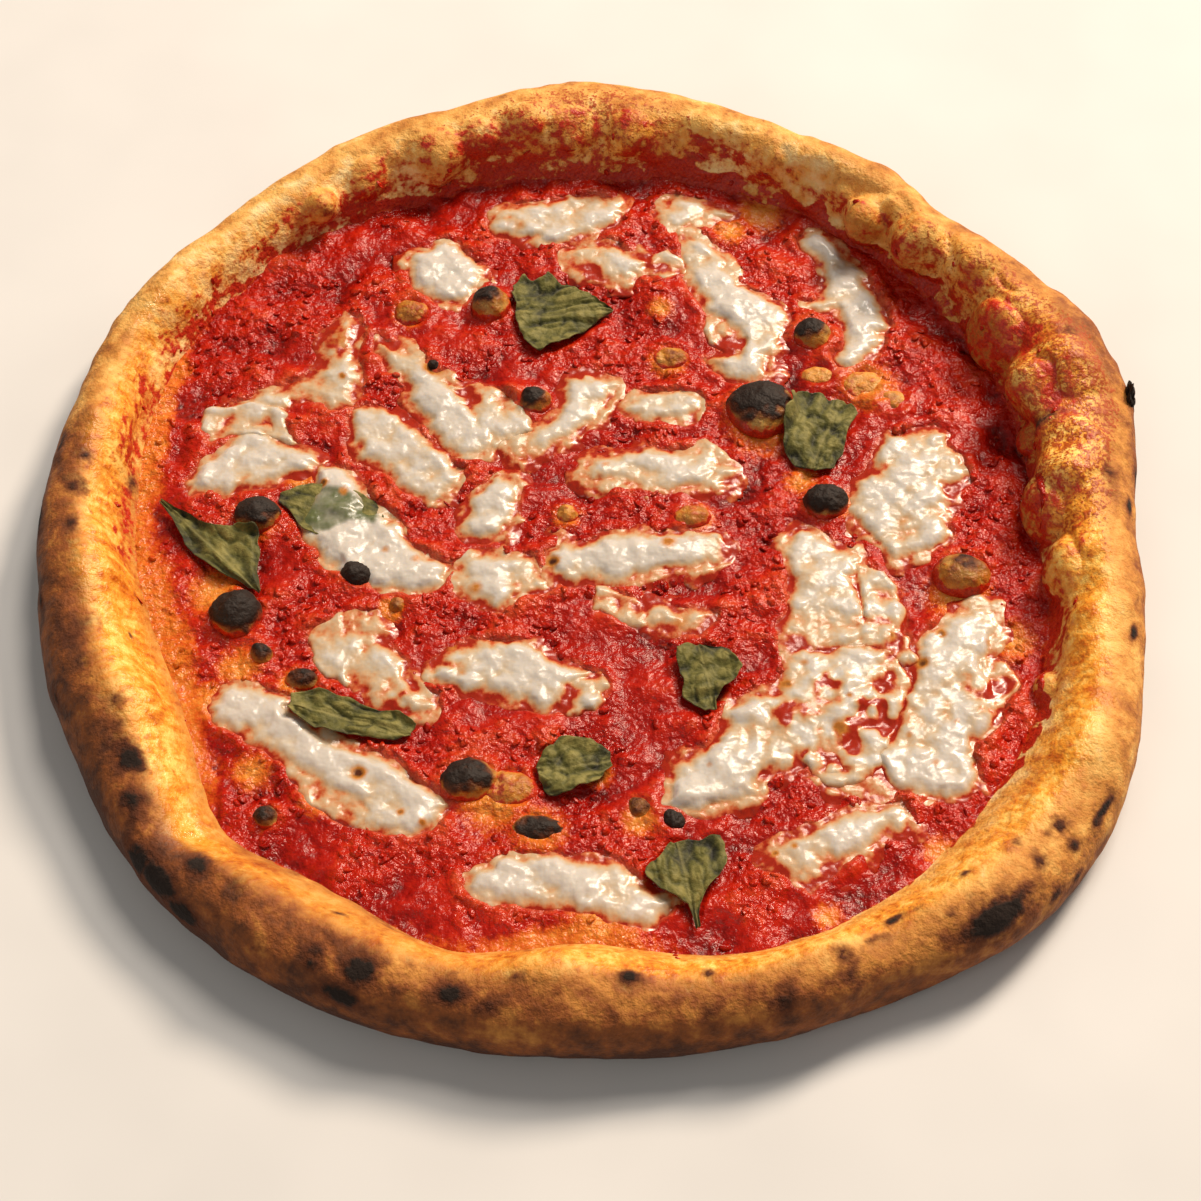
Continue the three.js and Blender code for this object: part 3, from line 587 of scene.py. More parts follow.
def over_crust(values, under_value):
    """Spreads a value painted on the rim over the whole body."""
    grid = values.reshape(SECTORS, -1)
    below = np.full((SECTORS, len(UNDER_RINGS)), under_value)
    above = np.repeat(grid[:, -1:], len(FLOOR_RINGS), 1)
    return np.append(np.concatenate([below, grid, above], 1).ravel(), [under_value, 0])


# The crust carries an even middle value of the sauce's painted shade and light, which the splashes
# scattered on it take up.
crust = make_piece(
    "baked_crust", crust_points, crust_faces, dough_finish, "crust", ["dough"],
    toast=over_crust(toast, 0.5), oil=over_crust(oil, 0), stain=over_crust(stain, 0),
    speck=over_crust(speck, 0), char=over_crust(char, 0.12), wet=over_crust(wet, 0),
    drops=over_crust(drops, 0), grains=over_crust(np.full(len(angle), 0.2), 0),
    wrapped=wrapped)
print("crust triangles:", sum(len(p.vertices) - 2 for p in crust.data.polygons))

# %% [markdown]
# ## Where the toppings lie
# Mozzarella is torn into pieces, and each melts into a low heap with a lobed outline. Curve
# objects could draw the outlines, but the sauce, the leaves and the cheese all need to know
# how deep a point lies in a piece. So each outline is a list of corners on the XY plane, and
# one function answers that for all of them. Blisters and leaves are lists as well.

# %% Swells of the base and pieces of mozzarella
# Where the base swells under the sauce: x, y, reach, height.
SWELLS = [(22, 80, 8, 2.2), (2, -124, 12, 1.2), (-118, -66, 10, 0.8), (104, 60, 12, 1),
          (40, -40, 16, 0.8), (-40, 60, 14, 0.6), (-70, -30, 12, 0.7), (60, -95, 10, 0.7),
          (-60, 108, 12, 0.9)]

# Thickness, then the outline of each piece.
MOZZARELLA = [
    [2.8, (-54, 103), (-49, 105), (-45, 108), (-41, 106), (-39, 102), (-34, 99), (-32, 93),
     (-36, 89), (-37, 85), (-42, 83), (-48, 85), (-52, 89), (-55, 94), (-56, 99)],
    [2.4, (-30, 118), (-27, 121), (-21, 122), (-12, 123), (-6, 125), (4, 126), (9, 124),
     (11, 119), (9, 115), (4, 112), (-1, 110), (-9, 107), (-14, 107), (-20, 109), (-26, 110),
     (-30, 112)],
    [2.2, (21, 119), (23, 123), (27, 125), (33, 124), (40, 122), (47, 120), (46, 118),
     (41, 117), (37, 115), (32, 114), (29, 111), (25, 111), (23, 114)],
    [2.2, (-9, 104), (-4, 106), (4, 107), (9, 106), (14, 103), (19, 100), (21, 97), (17, 95),
     (11, 92), (6, 91), (2, 93), (-1, 94), (-7, 97), (-9, 100)],
    [2.6, (29, 104), (31, 108), (36, 110), (39, 106), (41, 102), (43, 97), (47, 91), (53, 86),
     (58, 82), (60, 79), (60, 75), (59, 71), (58, 67), (56, 64), (54, 60), (53, 55), (49, 53),
     (42, 55), (36, 58), (35, 61), (41, 62), (45, 64), (46, 67), (43, 71), (41, 75), (37, 80),
     (34, 84), (32, 87), (31, 92), (29, 97)],
    [2.6, (65, 109), (68, 112), (72, 112), (76, 106), (80, 102), (83, 98), (85, 94), (86, 89),
     (89, 84), (90, 79), (91, 74), (88, 71), (87, 67), (86, 62), (82, 60), (80, 56), (75, 56),
     (74, 60), (77, 64), (78, 69), (77, 74), (76, 79), (70, 80), (65, 82), (68, 84), (72, 86),
     (73, 90), (72, 95), (71, 100), (68, 103), (66, 106)],
    [2.2, (-76, 75), (-73, 78), (-70, 76), (-69, 71), (-70, 67), (-70, 62), (-69, 57), (-69, 52),
     (-70, 48), (-71, 44), (-76, 42), (-80, 44), (-84, 47), (-90, 45), (-93, 42), (-98, 42),
     (-105, 41), (-109, 42), (-107, 45), (-100, 47), (-97, 49), (-90, 52), (-84, 55), (-81, 59),
     (-82, 64), (-82, 69), (-79, 72)],
    [2.8, (-117, 16), (-114, 22), (-110, 26), (-106, 31), (-102, 34), (-96, 34), (-91, 30),
     (-85, 28), (-81, 26), (-79, 23), (-81, 20), (-85, 19), (-90, 16), (-95, 14), (-100, 12),
     (-105, 11), (-111, 12), (-116, 13)],
    [2.6, (-64, 68), (-57, 66), (-52, 63), (-48, 59), (-45, 56), (-42, 51), (-39, 46), (-35, 43),
     (-30, 38), (-27, 34), (-28, 29), (-32, 24), (-38, 24), (-42, 26), (-45, 31), (-48, 37),
     (-52, 43), (-54, 48), (-57, 54), (-61, 59), (-64, 64)],
    [2.6, (-70, 42), (-61, 41), (-54, 38), (-50, 34), (-46, 28), (-42, 24), (-39, 21), (-36, 19),
     (-36, 16), (-39, 12), (-43, 10), (-49, 11), (-54, 13), (-56, 17), (-60, 19), (-65, 21),
     (-68, 24), (-69, 29), (-71, 34)],
    [2.4, (-37, 0), (-35, 4), (-34, 9), (-30, 13), (-26, 16), (-22, 16), (-20, 11), (-20, 5),
     (-21, 1), (-25, -3), (-30, -5), (-34, -4), (-36, -2)],
    [2.6, (0, 21), (5, 24), (11, 27), (19, 28), (27, 27), (35, 28), (39, 24), (43, 21), (41, 17),
     (41, 14), (37, 13), (30, 14), (24, 12), (17, 13), (10, 14), (4, 15), (0, 16), (-2, 18)],
    [2.4, (13, 47), (17, 50), (22, 49), (27, 50), (31, 47), (34, 43), (33, 39), (28, 37),
     (22, 38), (16, 39), (11, 42)],
    [2.2, (-6, 53), (-1, 56), (5, 55), (9, 52), (8, 47), (4, 43), (1, 38), (-3, 34), (-8, 30),
     (-14, 26), (-20, 24), (-25, 27), (-26, 32), (-20, 35), (-14, 37), (-10, 41), (-8, 47)],
    [2.2, (-39, -18), (-38, -13), (-35, -11), (-30, -9), (-25, -10), (-20, -10), (-16, -11),
     (-14, -15), (-11, -19), (-12, -23), (-18, -25), (-22, -27), (-25, -29), (-29, -28),
     (-33, -25), (-38, -22)],
    [2.6, (-12, -10), (-7, -6), (0, -7), (5, -4), (12, -3), (21, -3), (29, -2), (37, -3),
     (41, -6), (40, -11), (36, -14), (31, -15), (25, -14), (19, -16), (15, -18), (8, -19),
     (0, -20), (-7, -20), (-10, -16)],
    [2, (15, -30), (16, -26), (20, -26), (26, -28), (32, -28), (36, -30), (34, -34), (32, -38),
     (29, -37), (24, -35), (19, -34), (16, -33)],
    [2.8, (-40, -43), (-35, -41), (-27, -40), (-20, -40), (-14, -42), (-9, -45), (-4, -48),
     (-1, -50), (-3, -53), (-5, -57), (-10, -61), (-16, -61), (-21, -59), (-27, -56),
     (-34, -57), (-40, -54), (-43, -51), (-41, -47)],
    [2.4, (-66, -30), (-61, -29), (-60, -35), (-59, -40), (-54, -43), (-51, -47), (-50, -52),
     (-46, -56), (-42, -59), (-42, -63), (-47, -63), (-54, -61), (-60, -60), (-64, -56),
     (-66, -51), (-70, -47), (-70, -42), (-68, -36)],
    [3.4, (-79, 21), (-71, 20), (-67, 16), (-65, 11), (-61, 7), (-57, 4), (-54, -1), (-52, -6),
     (-47, -10), (-43, -10), (-40, -14), (-42, -18), (-46, -21), (-52, -22), (-60, -21),
     (-65, -19), (-70, -17), (-74, -14), (-77, -9), (-80, -5), (-83, -1), (-84, 3), (-82, 8),
     (-80, 14)],
    [2.8, (-105, -61), (-101, -55), (-97, -52), (-93, -54), (-89, -55), (-84, -58), (-81, -62),
     (-77, -66), (-72, -70), (-67, -73), (-61, -75), (-56, -76), (-52, -79), (-47, -83),
     (-44, -87), (-39, -91), (-39, -94), (-40, -97), (-45, -99), (-50, -100), (-56, -99),
     (-59, -96), (-61, -92), (-65, -90), (-70, -87), (-75, -84), (-80, -80), (-85, -77),
     (-89, -74), (-94, -70), (-99, -67), (-103, -65)],
    [2.8, (-31, -112), (-29, -110), (-25, -108), (-16, -107), (-7, -107), (0, -107), (5, -108),
     (10, -111), (14, -115), (19, -118), (21, -120), (20, -123), (16, -126), (11, -127),
     (6, -125), (0, -123), (-5, -122), (-12, -122), (-20, -121), (-27, -120), (-31, -116)],
    [2.4, (46, -108), (49, -104), (52, -101), (57, -100), (62, -99), (66, -96), (72, -94),
     (80, -91), (85, -90), (87, -95), (86, -99), (80, -101), (75, -104), (70, -107),
     (65, -111), (60, -116), (56, -115), (52, -112), (49, -111)],
    [2.6, (61, -1), (65, -2), (70, -5), (75, -8), (78, -11), (78, -15), (75, -18), (76, -23),
     (77, -28), (80, -33), (79, -38), (75, -41), (70, -42), (62, -41), (56, -42), (54, -40),
     (54, -35), (56, -30), (57, -25), (57, -19), (56, -14), (57, -9), (59, -4)],
    [3, (21, -91), (22, -86), (25, -81), (27, -76), (31, -74), (36, -71), (37, -66), (39, -61),
     (43, -58), (46, -56), (52, -54), (54, -49), (55, -44), (60, -41), (70, -42), (80, -41),
     (82, -47), (81, -54), (80, -59), (76, -64), (74, -69), (72, -73), (66, -75), (60, -77),
     (56, -80), (50, -80), (46, -82), (45, -87), (40, -90), (33, -92), (27, -92)],
    [3, (100, -34), (104, -31), (106, -28), (110, -26), (115, -29), (115, -34), (114, -40),
     (112, -45), (111, -48), (112, -53), (112, -58), (113, -64), (110, -68), (106, -71),
     (105, -76), (106, -81), (106, -86), (102, -90), (99, -90), (92, -89), (87, -87),
     (82, -85), (79, -81), (77, -76), (80, -72), (84, -69), (86, -64), (88, -57), (90, -52),
     (91, -47), (92, -42), (95, -38)],
    [2.8, (82, 19), (79, 15), (75, 11), (74, 7), (78, 2), (81, -1), (82, -5), (85, -9),
     (88, -12), (92, -10), (97, -9), (102, -6), (104, -1), (104, 4), (105, 9), (106, 14),
     (110, 15), (111, 20), (109, 25), (106, 29), (106, 33), (102, 35), (99, 33), (95, 34),
     (91, 33), (89, 32), (86, 29), (84, 26), (83, 22)],
    [1.4, (62, -78), (66, -76), (72, -74), (77, -76), (82, -81), (85, -86), (80, -88), (73, -88),
     (67, -86), (62, -83)]]

print("pieces of mozzarella:", len(MOZZARELLA))

# %% Films of melted cheese
# Thin films that ran from a piece, by its place in the list above: depth, outline.
FILMS = {
    2: [1.2, (27, 113), (35, 113), (38, 106), (33, 101), (28, 104)],
    3: [1.1, (19, 100), (24, 103), (29, 101), (30, 94), (24, 92), (18, 93)],
    4: [1.1, (37, 80), (44, 80), (50, 72), (50, 62), (42, 61), (38, 66), (36, 73)],
    6: [1.3, (-112, 43), (-100, 45), (-92, 43), (-88, 37), (-86, 29), (-95, 32), (-105, 33),
        (-111, 31), (-115, 35)],
    8: [1.2, (-42, 50), (-34, 52), (-25, 48), (-19, 42), (-18, 35), (-22, 29), (-28, 27),
        (-33, 30), (-37, 40)],
    15: [0.6, (-16, -21), (-12, -14), (-8, -14), (-8, -21), (-13, -25)],
    16: [1.1, (2, -21), (8, -22), (14, -26), (17, -33), (10, -34), (3, -29)],
    17: [1.2, (-4, -50), (3, -50), (6, -55), (2, -61), (-6, -62), (-10, -57)],
    18: [1, (-79, -36), (-70, -32), (-65, -40), (-68, -52), (-74, -50), (-78, -44)],
    20: [0.9, (-82, -80), (-72, -84), (-62, -91), (-60, -97), (-68, -96), (-76, -90)],
    23: [1.3, (75, -12), (84, -16), (89, -25), (89, -36), (92, -44), (84, -46), (76, -40),
         (78, -30)],
    24: [1.4, (72, -40), (84, -42), (90, -50), (88, -60), (82, -72), (78, -84), (70, -86),
         (60, -84), (58, -78), (66, -68)],
    25: [1.1, (112, -44), (118, -46), (119, -54), (114, -62), (108, -60)]}
print("pieces with thin films:", len(FILMS))

# %% Blisters and leaves
# Blisters: x, y, radius, height above the base, how burnt the cap is, how high up its edge is,
# which way it leans (x, y), stretch along x.
BLISTERS = [
    (-30, 82, 6.6, 8.3, 1, .78, -.3, .25, 1), (51, 41, 10.4, 10.5, 1, .6, -.1, .3, 1.05),
    (68, 70, 6.4, 8, 1, .68, -.2, .3, 1), (-16, 45, 5.2, 7.2, 1, .72, -.1, .1, 1),
    (-96, 3, 7, 8.2, 1, .62, 0, .2, 1.1), (-99, -31, 8, 9.6, 1, .52, 0, .05, 1),
    (-66, -17, 4.4, 6.6, 1, .3, 0, 0, 1.05), (69, 8, 6.4, 7.8, 1, .45, 0, .15, 1.05),
    (-32, -84, 7.6, 7.8, 1, .6, -.15, .3, 1.2), (-14, -98, 5.4, 4.6, .8, .62, .2, -.1, 1.6),
    (23, -96, 3.6, 4.8, 1, .4, 0, .1, 1), (107, -17, 7.8, 8.2, .75, .88, -.1, .3, 1.15),
    (-54, 79, 6, 5.8, .2, .8, 0, 0, 1), (-91, -44, 3.8, 5.8, .8, .7, 0, .1, 1),
    (-79, -52, 4.1, 5.6, .75, .62, 0, .1, 1.25), (-86, -95, 3.9, 5.8, .8, .65, 0, .1, 1),
    (30, 3, 5.2, 5.4, .12, .8, 0, 0, 1.2), (-6, 4, 3.8, 5.1, .15, .8, 0, 0, 1),
    (70, 55, 5, 3.6, .1, .95, 0, 0, 1.5), (82, 52, 6.4, 3.9, .15, .95, 0, 0, 1.4),
    (91, 45, 5.6, 4.3, .25, .95, 0, 0, .9), (86, 47, 3.8, 3.6, .1, .95, 0, 0, 1.2),
    (-54, -27, 3, 4.6, .5, .8, 0, 0, 1), (-21, -86, 6.8, 5.2, .15, .8, 0, 0, 1.3),
    (14, -92, 3.8, 4.7, .5, .7, 0, 0, 1), (25, 62, 5.4, 4.8, .2, .8, 0, 0, 1.3),
    (-47, 58, 2.2, 5.4, .8, .5, 0, 0, 1.2), (84, 120, 5, 7, .2, .8, 0, 0, 1)]

# Leaves: stem end, tip, how high its edges cup, height of its waves, lift, mozzarella over it.
BASIL = [
    ((-22, 76), (7, 79), 0.6, 0.5, 0.2, ()), ((65, 19), (75, 44), 0.8, 0.6, 0.3, ()),
    ((-93, -24), (-124, 8), 1.4, 0.8, 0.4, ()), ((-90, 9), (-61, -1), 0.2, 0.2, 0, (19,)),
    ((-82, -61), (-48, -70), 1, 0.6, 0.2, ()), ((-14, -82), (7, -78), 0.6, 0.5, 0.2, ()),
    ((31, -42), (35, -62), 1.2, 0.8, 0.3, ()), ((29, -128), (24, -103), 1.2, 0.8, 0.3, ())]

# How far each leaf reaches left and right of its midrib, at nine places from stem to tip.
OUTLINES = [
    ((14, 16, 16, 16, 11, 9, 7, 3, .3), (5, 12, 12, 11, 10, 8, 5, 2.5, .3)),
    ((4.5, 9, 10.5, 12, 12.3, 12.5, 12.6, 12, 8), (2, 5.5, 6.2, 6.3, 6, 5.5, 5.3, 6, 3)),
    ((.3, 1.2, 3, 4.4, 4.8, 4.2, 2.8, 1.3, .2), (.3, 3.7, 10, 12.5, 7, 3.3, 2.2, .8, .2)),
    ((2, 5.5, 7.8, 9, 9.6, 9.3, 8.9, 7.3, 4), (.5, 2, 4.5, 7.8, 8.5, 6.5, 1.5, .3, .2)),
    ((3, 5.8, 5.6, 5, 5.8, 4.8, 4.3, 4.6, 3), (1, 3.5, 5, 5.4, 5.2, 4.4, 3.8, 3, .5)),
    ((1.5, 5, 7, 8.3, 8.2, 7.6, 6.5, 5, 3), (2, 6.5, 8, 7.8, 6.3, 5.8, 5.3, 3, 1.5)),
    ((.5, 7.6, 7.7, 9, 10, 8.2, 3, .5, .2), (6, 6.5, 6.8, 6.6, 6, 7.2, 7, 5.2, 2.5)),
    ((.4, .5, 1, 4, 7, 10, 9, 5, 1.5), (.4, .6, 1.5, 4, 8, 10.4, 11, 11.5, 10.5))]

print("blisters:", len(BLISTERS), "leaves:", len(BASIL))

# %% How high and how deep
CREPT = 0.9  # how far the melted edge of the cheese crept past its outline


def sauce_top(points):
    """Height of the sauce's smooth surface."""
    x, y = points[:, 0], points[:, 1]
    z = (BASE + SAUCE + 0.35 * np.sin(x / 17 + 0.4) * np.sin(y / 15 + 1.1)
         + 0.25 * np.sin((x + y) / 21 + 2))
    for sx, sy, size, height in SWELLS:
        z = z + height * np.exp(-((x - sx) ** 2 + (y - sy) ** 2) / size ** 2)
    return z


def depth_in(outline, points):
    """Distance from each point to an outline on the XY plane, in mm, positive inside it."""
    x, y = points[:, 0], points[:, 1]
    nearest, within = np.full(len(x), 1e9), np.zeros(len(x), bool)
    for (ax, ay), (bx, by) in zip(outline, outline[1:] + outline[:1]):
        dx, dy = bx - ax, by - ay
        t = np.clip(((x - ax) * dx + (y - ay) * dy) / (dx * dx + dy * dy), 0, 1)
        nearest = np.minimum(nearest, np.hypot(x - ax - t * dx, y - ay - t * dy))
        if dy:
            within ^= ((ay > y) != (by > y)) & (x < dx * (y - ay) / dy + ax)
    return np.where(within, nearest, -nearest)


def close_to(outline, points, margin):
    """The row numbers of the points that lie in the outline's box, widened by a margin."""
    low, high = np.min(outline, axis=0) - margin, np.max(outline, axis=0) + margin
    return np.flatnonzero(((points[:, :2] > low) & (points[:, :2] < high)).all(1))


print("the middle of the sauce stands", round(sauce_top(np.zeros((1, 3)))[0], 1), "mm high")


# %% The heap of a piece, and the outline of a leaf
def heap_of(number, points):
    """Height of a piece of mozzarella over the sauce; negative where it is under it."""
    thickness, *outline = MOZZARELLA[number]
    torn = ragged(points)
    depth = depth_in(outline, torn) + CREPT
    swell = (0.42 * lumps(points, 9, 35 + number) + 0.26 * lumps(points, 4.5, 36)
             + 0.14 * lumps(points, 2.3, 37))
    heap = 0.6 * thickness * smooth(-0.5, 5, depth) * (1 + swell) + np.minimum(depth + 0.5, 0)
    fringe = (0.45 * np.clip((depth + 2.2) / 1.4, -4, 1) + 0.3 * lumps(points, 5, 38)
              + 0.2 * lumps(points, 2.4, 39) - 0.5 * smooth(-0.3, 0.5, lumps(points, 15, 41)))
    heap = np.maximum(heap, fringe)
    if number in FILMS:
        film_depth, *outline = FILMS[number]
        holes = 0.6 * lumps(points, 6, 38) + 0.4 * lumps(points, 2.8, 39)
        sheet = np.clip((depth_in(outline, torn) + 0.5) / 1.5, -4, 0.75)
        heap = np.maximum(heap, film_depth * (sheet + holes))
    return heap


def ragged(points):
    """The same places shifted a little, so that an edge drawn with them looks torn."""
    shift = np.zeros((len(points), 3))
    for size, reach in ((9, 1), (4.2, 1.1), (1.9, 0.6)):
        for axis in (0, 1):
            shift[:, axis] += reach * lumps(points, size, 31 + axis)
    return points + shift


def leaf_outline(number):
    """A leaf's outline on the XY plane, from its midrib and its reach to both sides."""
    stem, tip = (np.array(end, float) for end in BASIL[number][:2])
    ahead = (tip - stem) / np.linalg.norm(tip - stem)
    side = np.array([-ahead[1], ahead[0]])
    rib = stem + np.outer(np.linspace(0, 1, 9), tip - stem)
    left, right = (np.outer(reach, side) for reach in OUTLINES[number])
    return [tuple(p) for p in np.vstack([rib + left, (rib - right)[::-1]])]


print("corners of the first leaf's outline:", len(leaf_outline(0)))

# %% [markdown]
# ## Crushed tomato
# The sauce is wet pulp: grains a few millimetres across, dark hollows between them and a skin
# of oil that catches the light. A flat disc with a bump map would look painted on from the
# side, so the surface itself has the grains. A square grid is bent into a disc, which keeps
# its cells even and gives it one clean edge. Its finish reads four painted values:
# grains (how high a grain stands, so that its colour paints shade into the hollows and
# light onto the crests), thin (where dough shows through), milky (whey from the cheese) and
# pool (smooth puddles between the heaps). A fifth, bare, says where loose pulp may lie.

# %% Recipe: crushed tomato in oil
sauce_finish, tree, place = new_recipe("crushed_tomato_in_oil")
grains, thin, milky, pool = (
    painted_value(tree, label) for label in ("grains", "thin", "milky", "pool"))
blotch, pulp, fibre = (noise(tree, place, size) for size in (9, 2.4, 1.1))
# The red is darker in the hollows and lighter on the crests of the grains: painted shade and
# painted light that follow the relief.
depth = both(tree, pulp, 0.5, both(tree, blotch, 0.35, grains))
red = add(tree, "ShaderNodeValToRGB", {0: depth},
          stops=[(0.3, "560300"), (0.48, "940c02"), (0.64, "b01d07"),
                 (0.85, "c4441f")]).outputs[0]
spread = both(tree, fibre, 0.5, both(tree, pulp, 0.6, thin))
orange = add(tree, "ShaderNodeValToRGB", {0: both(tree, spread, 1, -0.55)},
             stops=[(0.25, "a82409"), (0.5, "c24a12"), (0.75, "cf7226"),
                    (1.0, "e09a45")]).outputs[0]
red, _ = lay_over(tree, red, orange, spread, 0.82, 1.1)
red, _ = lay_over(tree, red, colour("c96c48"), both(tree, pulp, 0.9, milky), 0.85, 1.7)

# Water and oil cover the pulp with a wet film, so it glints. In a puddle the film lies flatter
# and fat from the cheese dulls it a little.
wet = both(tree, noise(tree, place, 3.4, 1), 1.6, both(tree, noise(tree, place, 1.3, 2), 0.8, 0))
rough = add(tree, "ShaderNodeMix", {0: pool, 2: 1.0, 3: 0.6}).outputs[0]
relief = add(tree, "ShaderNodeBump", {"Height": wet, "Strength": rough, "Distance": 1 * MM})
film_gloss = add(tree, "ShaderNodeMix", {0: pool, 2: 0.22, 3: 0.3}).outputs[0]
surface = add(tree, "ShaderNodeBsdfPrincipled", {
    "Base Color": red, "Roughness": film_gloss, "IOR": 1.36, "Normal": relief.outputs[0],
    "Subsurface Weight": 0.08, "Subsurface Radius": (1, 0.1, 0.05),
    "Subsurface Scale": 1 * MM})
add(tree, "ShaderNodeOutputMaterial", {0: surface.outputs[0]})
print("nodes in the crushed tomato:", len(tree.nodes))

# %% Where the sauce runs thin
# Places where the sauce is thin and the dough shows orange: x, y, reach.
THIN = [(84, 51, 11), (74, 8, 6), (62, 16, 6), (84, -23, 6.5), (69, -12, 5), (51, 36, 12),
        (119, -39, 8), (105, -24, 11), (-106, -23, 10), (-97, -48, 8), (-105, -59, 9),
        (-72, -89, 7), (-91, -81, 7), (-25, -90, 12), (-13, -99, 9), (14, -96, 6),
        (-55, 78, 6), (-96, 1, 8), (32, 3, 6), (-6, 3, 5), (-56, -29, 5), (22, 80, 5),
        (24, 60, 7), (3, -81, 5), (94, -105, 6), (63, -124, 5), (3, -127, 11), (54, 120, 9),
        (44, 112, 7), (80, -73, 8), (76, -39, 8), (67, 34, 7), (-82, -53, 5.5), (-84, 16, 6)]

# How far in from the foot of the wall the sauce thins out over oily dough, in mm, every 15
# degrees.
RUN_OUT = [2, 2, 1, 1, 1, 1, 1, 1, 2, 3, 6, 10, 13, 14, 10, 5, 4, 6, 8, 4, 3, 3, 3, 2]


def in_spots(points, spots):
    """How much of the nearest spot there is at each point; a spot is x, y, reach, strength."""
    most = np.zeros(len(points))
    for x, y, reach, strength in spots:
        gap = (points[:, 0] - x) ** 2 + (points[:, 1] - y) ** 2
        most = np.maximum(most, strength * np.exp(-gap / reach ** 2))
    return most


print("thin places:", len(THIN))

# %% The dough under the sauce
WALL_STEPS = 80  # heights from the foot of the wall to its crest
inner_wall = rim_grid[:, rim_steps >= 2][:, ::-1]
wall_from = np.maximum.accumulate(np.hypot(inner_wall[..., 0], inner_wall[..., 1]), axis=1)
wall_foot = around(FOOT_RADIUS, angles)
wall_width = (1 - CREST_IN) * (around(RIM_RADIUS, angles) - wall_foot)
wall_table = np.stack([
    np.interp(f + w * np.linspace(0, 1, WALL_STEPS), radius, rise)
    for f, w, radius, rise in zip(wall_foot, wall_width, wall_from, inner_wall[..., 2])])


def dough_height(turn, up):
    """Height of the dough: up is 0 at the foot of the wall and 1 at its crest."""
    i, j = turn / (2 * np.pi) % 1 * SECTORS, np.clip(up, 0, 0.999) * (WALL_STEPS - 1)
    i0, j0 = np.floor(i).astype(int), np.floor(j).astype(int)
    i, j = i - i0, j - j0
    here, beside = wall_table[i0 % SECTORS], wall_table[(i0 + 1) % SECTORS]
    row = np.arange(len(turn))
    return ((1 - i) * ((1 - j) * here[row, j0] + j * here[row, j0 + 1])
            + i * ((1 - j) * beside[row, j0] + j * beside[row, j0 + 1]))


print("the wall rises to", round(wall_table.max(), 1), "mm")

# %% The sheet of sauce
GRID = 306  # corners along each side of the square that is bent into a disc
a, b = (g.ravel() for g in np.meshgrid(*[np.linspace(-1, 1, GRID)] * 2, indexing="ij"))
disc = np.stack([a * np.sqrt(1 - b * b / 2), b * np.sqrt(1 - a * a / 2), 0 * a], -1)
turn = np.arctan2(disc[:, 1], disc[:, 0])
foot = around(FOOT_RADIUS, turn)
slope = (1 - CREST_IN) * (around(RIM_RADIUS, turn) - foot)
reach_up = np.maximum(3 - around(SAUCED, turn), 0.05)
disc *= (foot + slope * np.clip(1.8 * reach_up, 0.3, 0.95))[:, None]
up = (np.hypot(disc[:, 0], disc[:, 1]) - foot) / slope
dough = dough_height(turn, up)

# How deep each corner lies in the cheese; the thin films count as shallow.
FAR_OUTSIDE = -20.0
in_cheese = np.full(len(disc), FAR_OUTSIDE)
for _, *outline in MOZZARELLA:
    near = close_to(outline, disc, 12)
    in_cheese[near] = np.maximum(in_cheese[near], depth_in(outline, ragged(disc[near])) + CREPT)
for _, *outline in FILMS.values():
    near = close_to(outline, disc, 6)
    in_film = np.minimum(depth_in(outline, ragged(disc[near])), 0.6)
    in_cheese[near] = np.maximum(in_cheese[near], in_film)
print("corners of the sauce under cheese:", int((in_cheese > 0).sum()))

# %% The height of the sauce
# Where the dough shows through: the listed places, and the shore along the wall.
thin = 0.85 * in_spots(disc, [(*place, 1) for place in THIN])
ashore = np.hypot(disc[:, 0], disc[:, 1]) - foot + 2.5 * lumps(disc, 7, 53)
run_out = around(RUN_OUT, turn)
thin = np.maximum(thin, 0.72 * smooth(3, 8, run_out) * smooth(-run_out, 0, ashore))

# Heaps of pulp with grains on them, both flatter in the puddles and where the sauce is thin.
pool = smooth(-0.15, 0.35, lumps(disc, 15, 51) + 0.35 * lumps(disc, 6, 52))
warp = disc + 1.4 * np.stack([lumps(disc, 4, 11), lumps(disc, 4, 12), 0 * a], -1)
rise = (1.2 * lumps(disc, 11, 4) + 0.9 * lumps(disc, 5.5, 5)
        + (1 - 0.7 * pool) * (0.3 * lumps(disc, 2.4, 6) + 0.6 * pebbles(warp, 3.6, 2) - 0.1))
rise = rise * (1 - 0.55 * thin) - 0.5 * thin - 0.3 * pool

# Melting cheese pushed up a bank of pulp along its edge and lies in a hollow, and blisters have
# a bank as well. Under a leaf the pulp is pressed flat.
levee = np.exp(-((in_cheese + 1.8) / 1.6) ** 2)
rise += levee * (0.45 + 0.8 * lumps(disc, 7, 17))
rise = rise * (1 - smooth(-0.8, 1, in_cheese)) - 0.3 * smooth(-0.5, 1, in_cheese)
bare = (1 - smooth(-1.5, -0.2, in_cheese)) * (1 - pool)
for x, y, reach, *_ in BLISTERS:
    gap = np.hypot(disc[:, 0] - x, disc[:, 1] - y) - reach
    rise += 0.9 * np.exp(-(gap / 1.8) ** 2)
    thin = np.maximum(thin, 0.32 * np.exp(-(gap / 2.4) ** 2))
    bare *= smooth(0, 1.5, gap)
for number in range(len(BASIL)):
    covered = smooth(-2, 0, depth_in(leaf_outline(number), disc))
    rise = rise * (1 - covered) + np.minimum(rise, -0.2) * covered
    bare *= 1 - covered

# Up the wall the sauce is a coat on the dough, which frays and dives into it at its edge.
edge = np.maximum(abs(a), abs(b))
coat = (0.3 + 0.8 * lumps(disc, 7, 14) + 0.5 * lumps(disc, 3, 15)
        - 1.4 * smooth(0.6, 1.7, up / reach_up) - 1.5 * smooth(0.97, 1, edge))
disc[:, 2] = np.maximum(sauce_top(disc) + rise, dough + coat)
disc[:, 2] -= 6 * smooth(0.985, 1, edge)

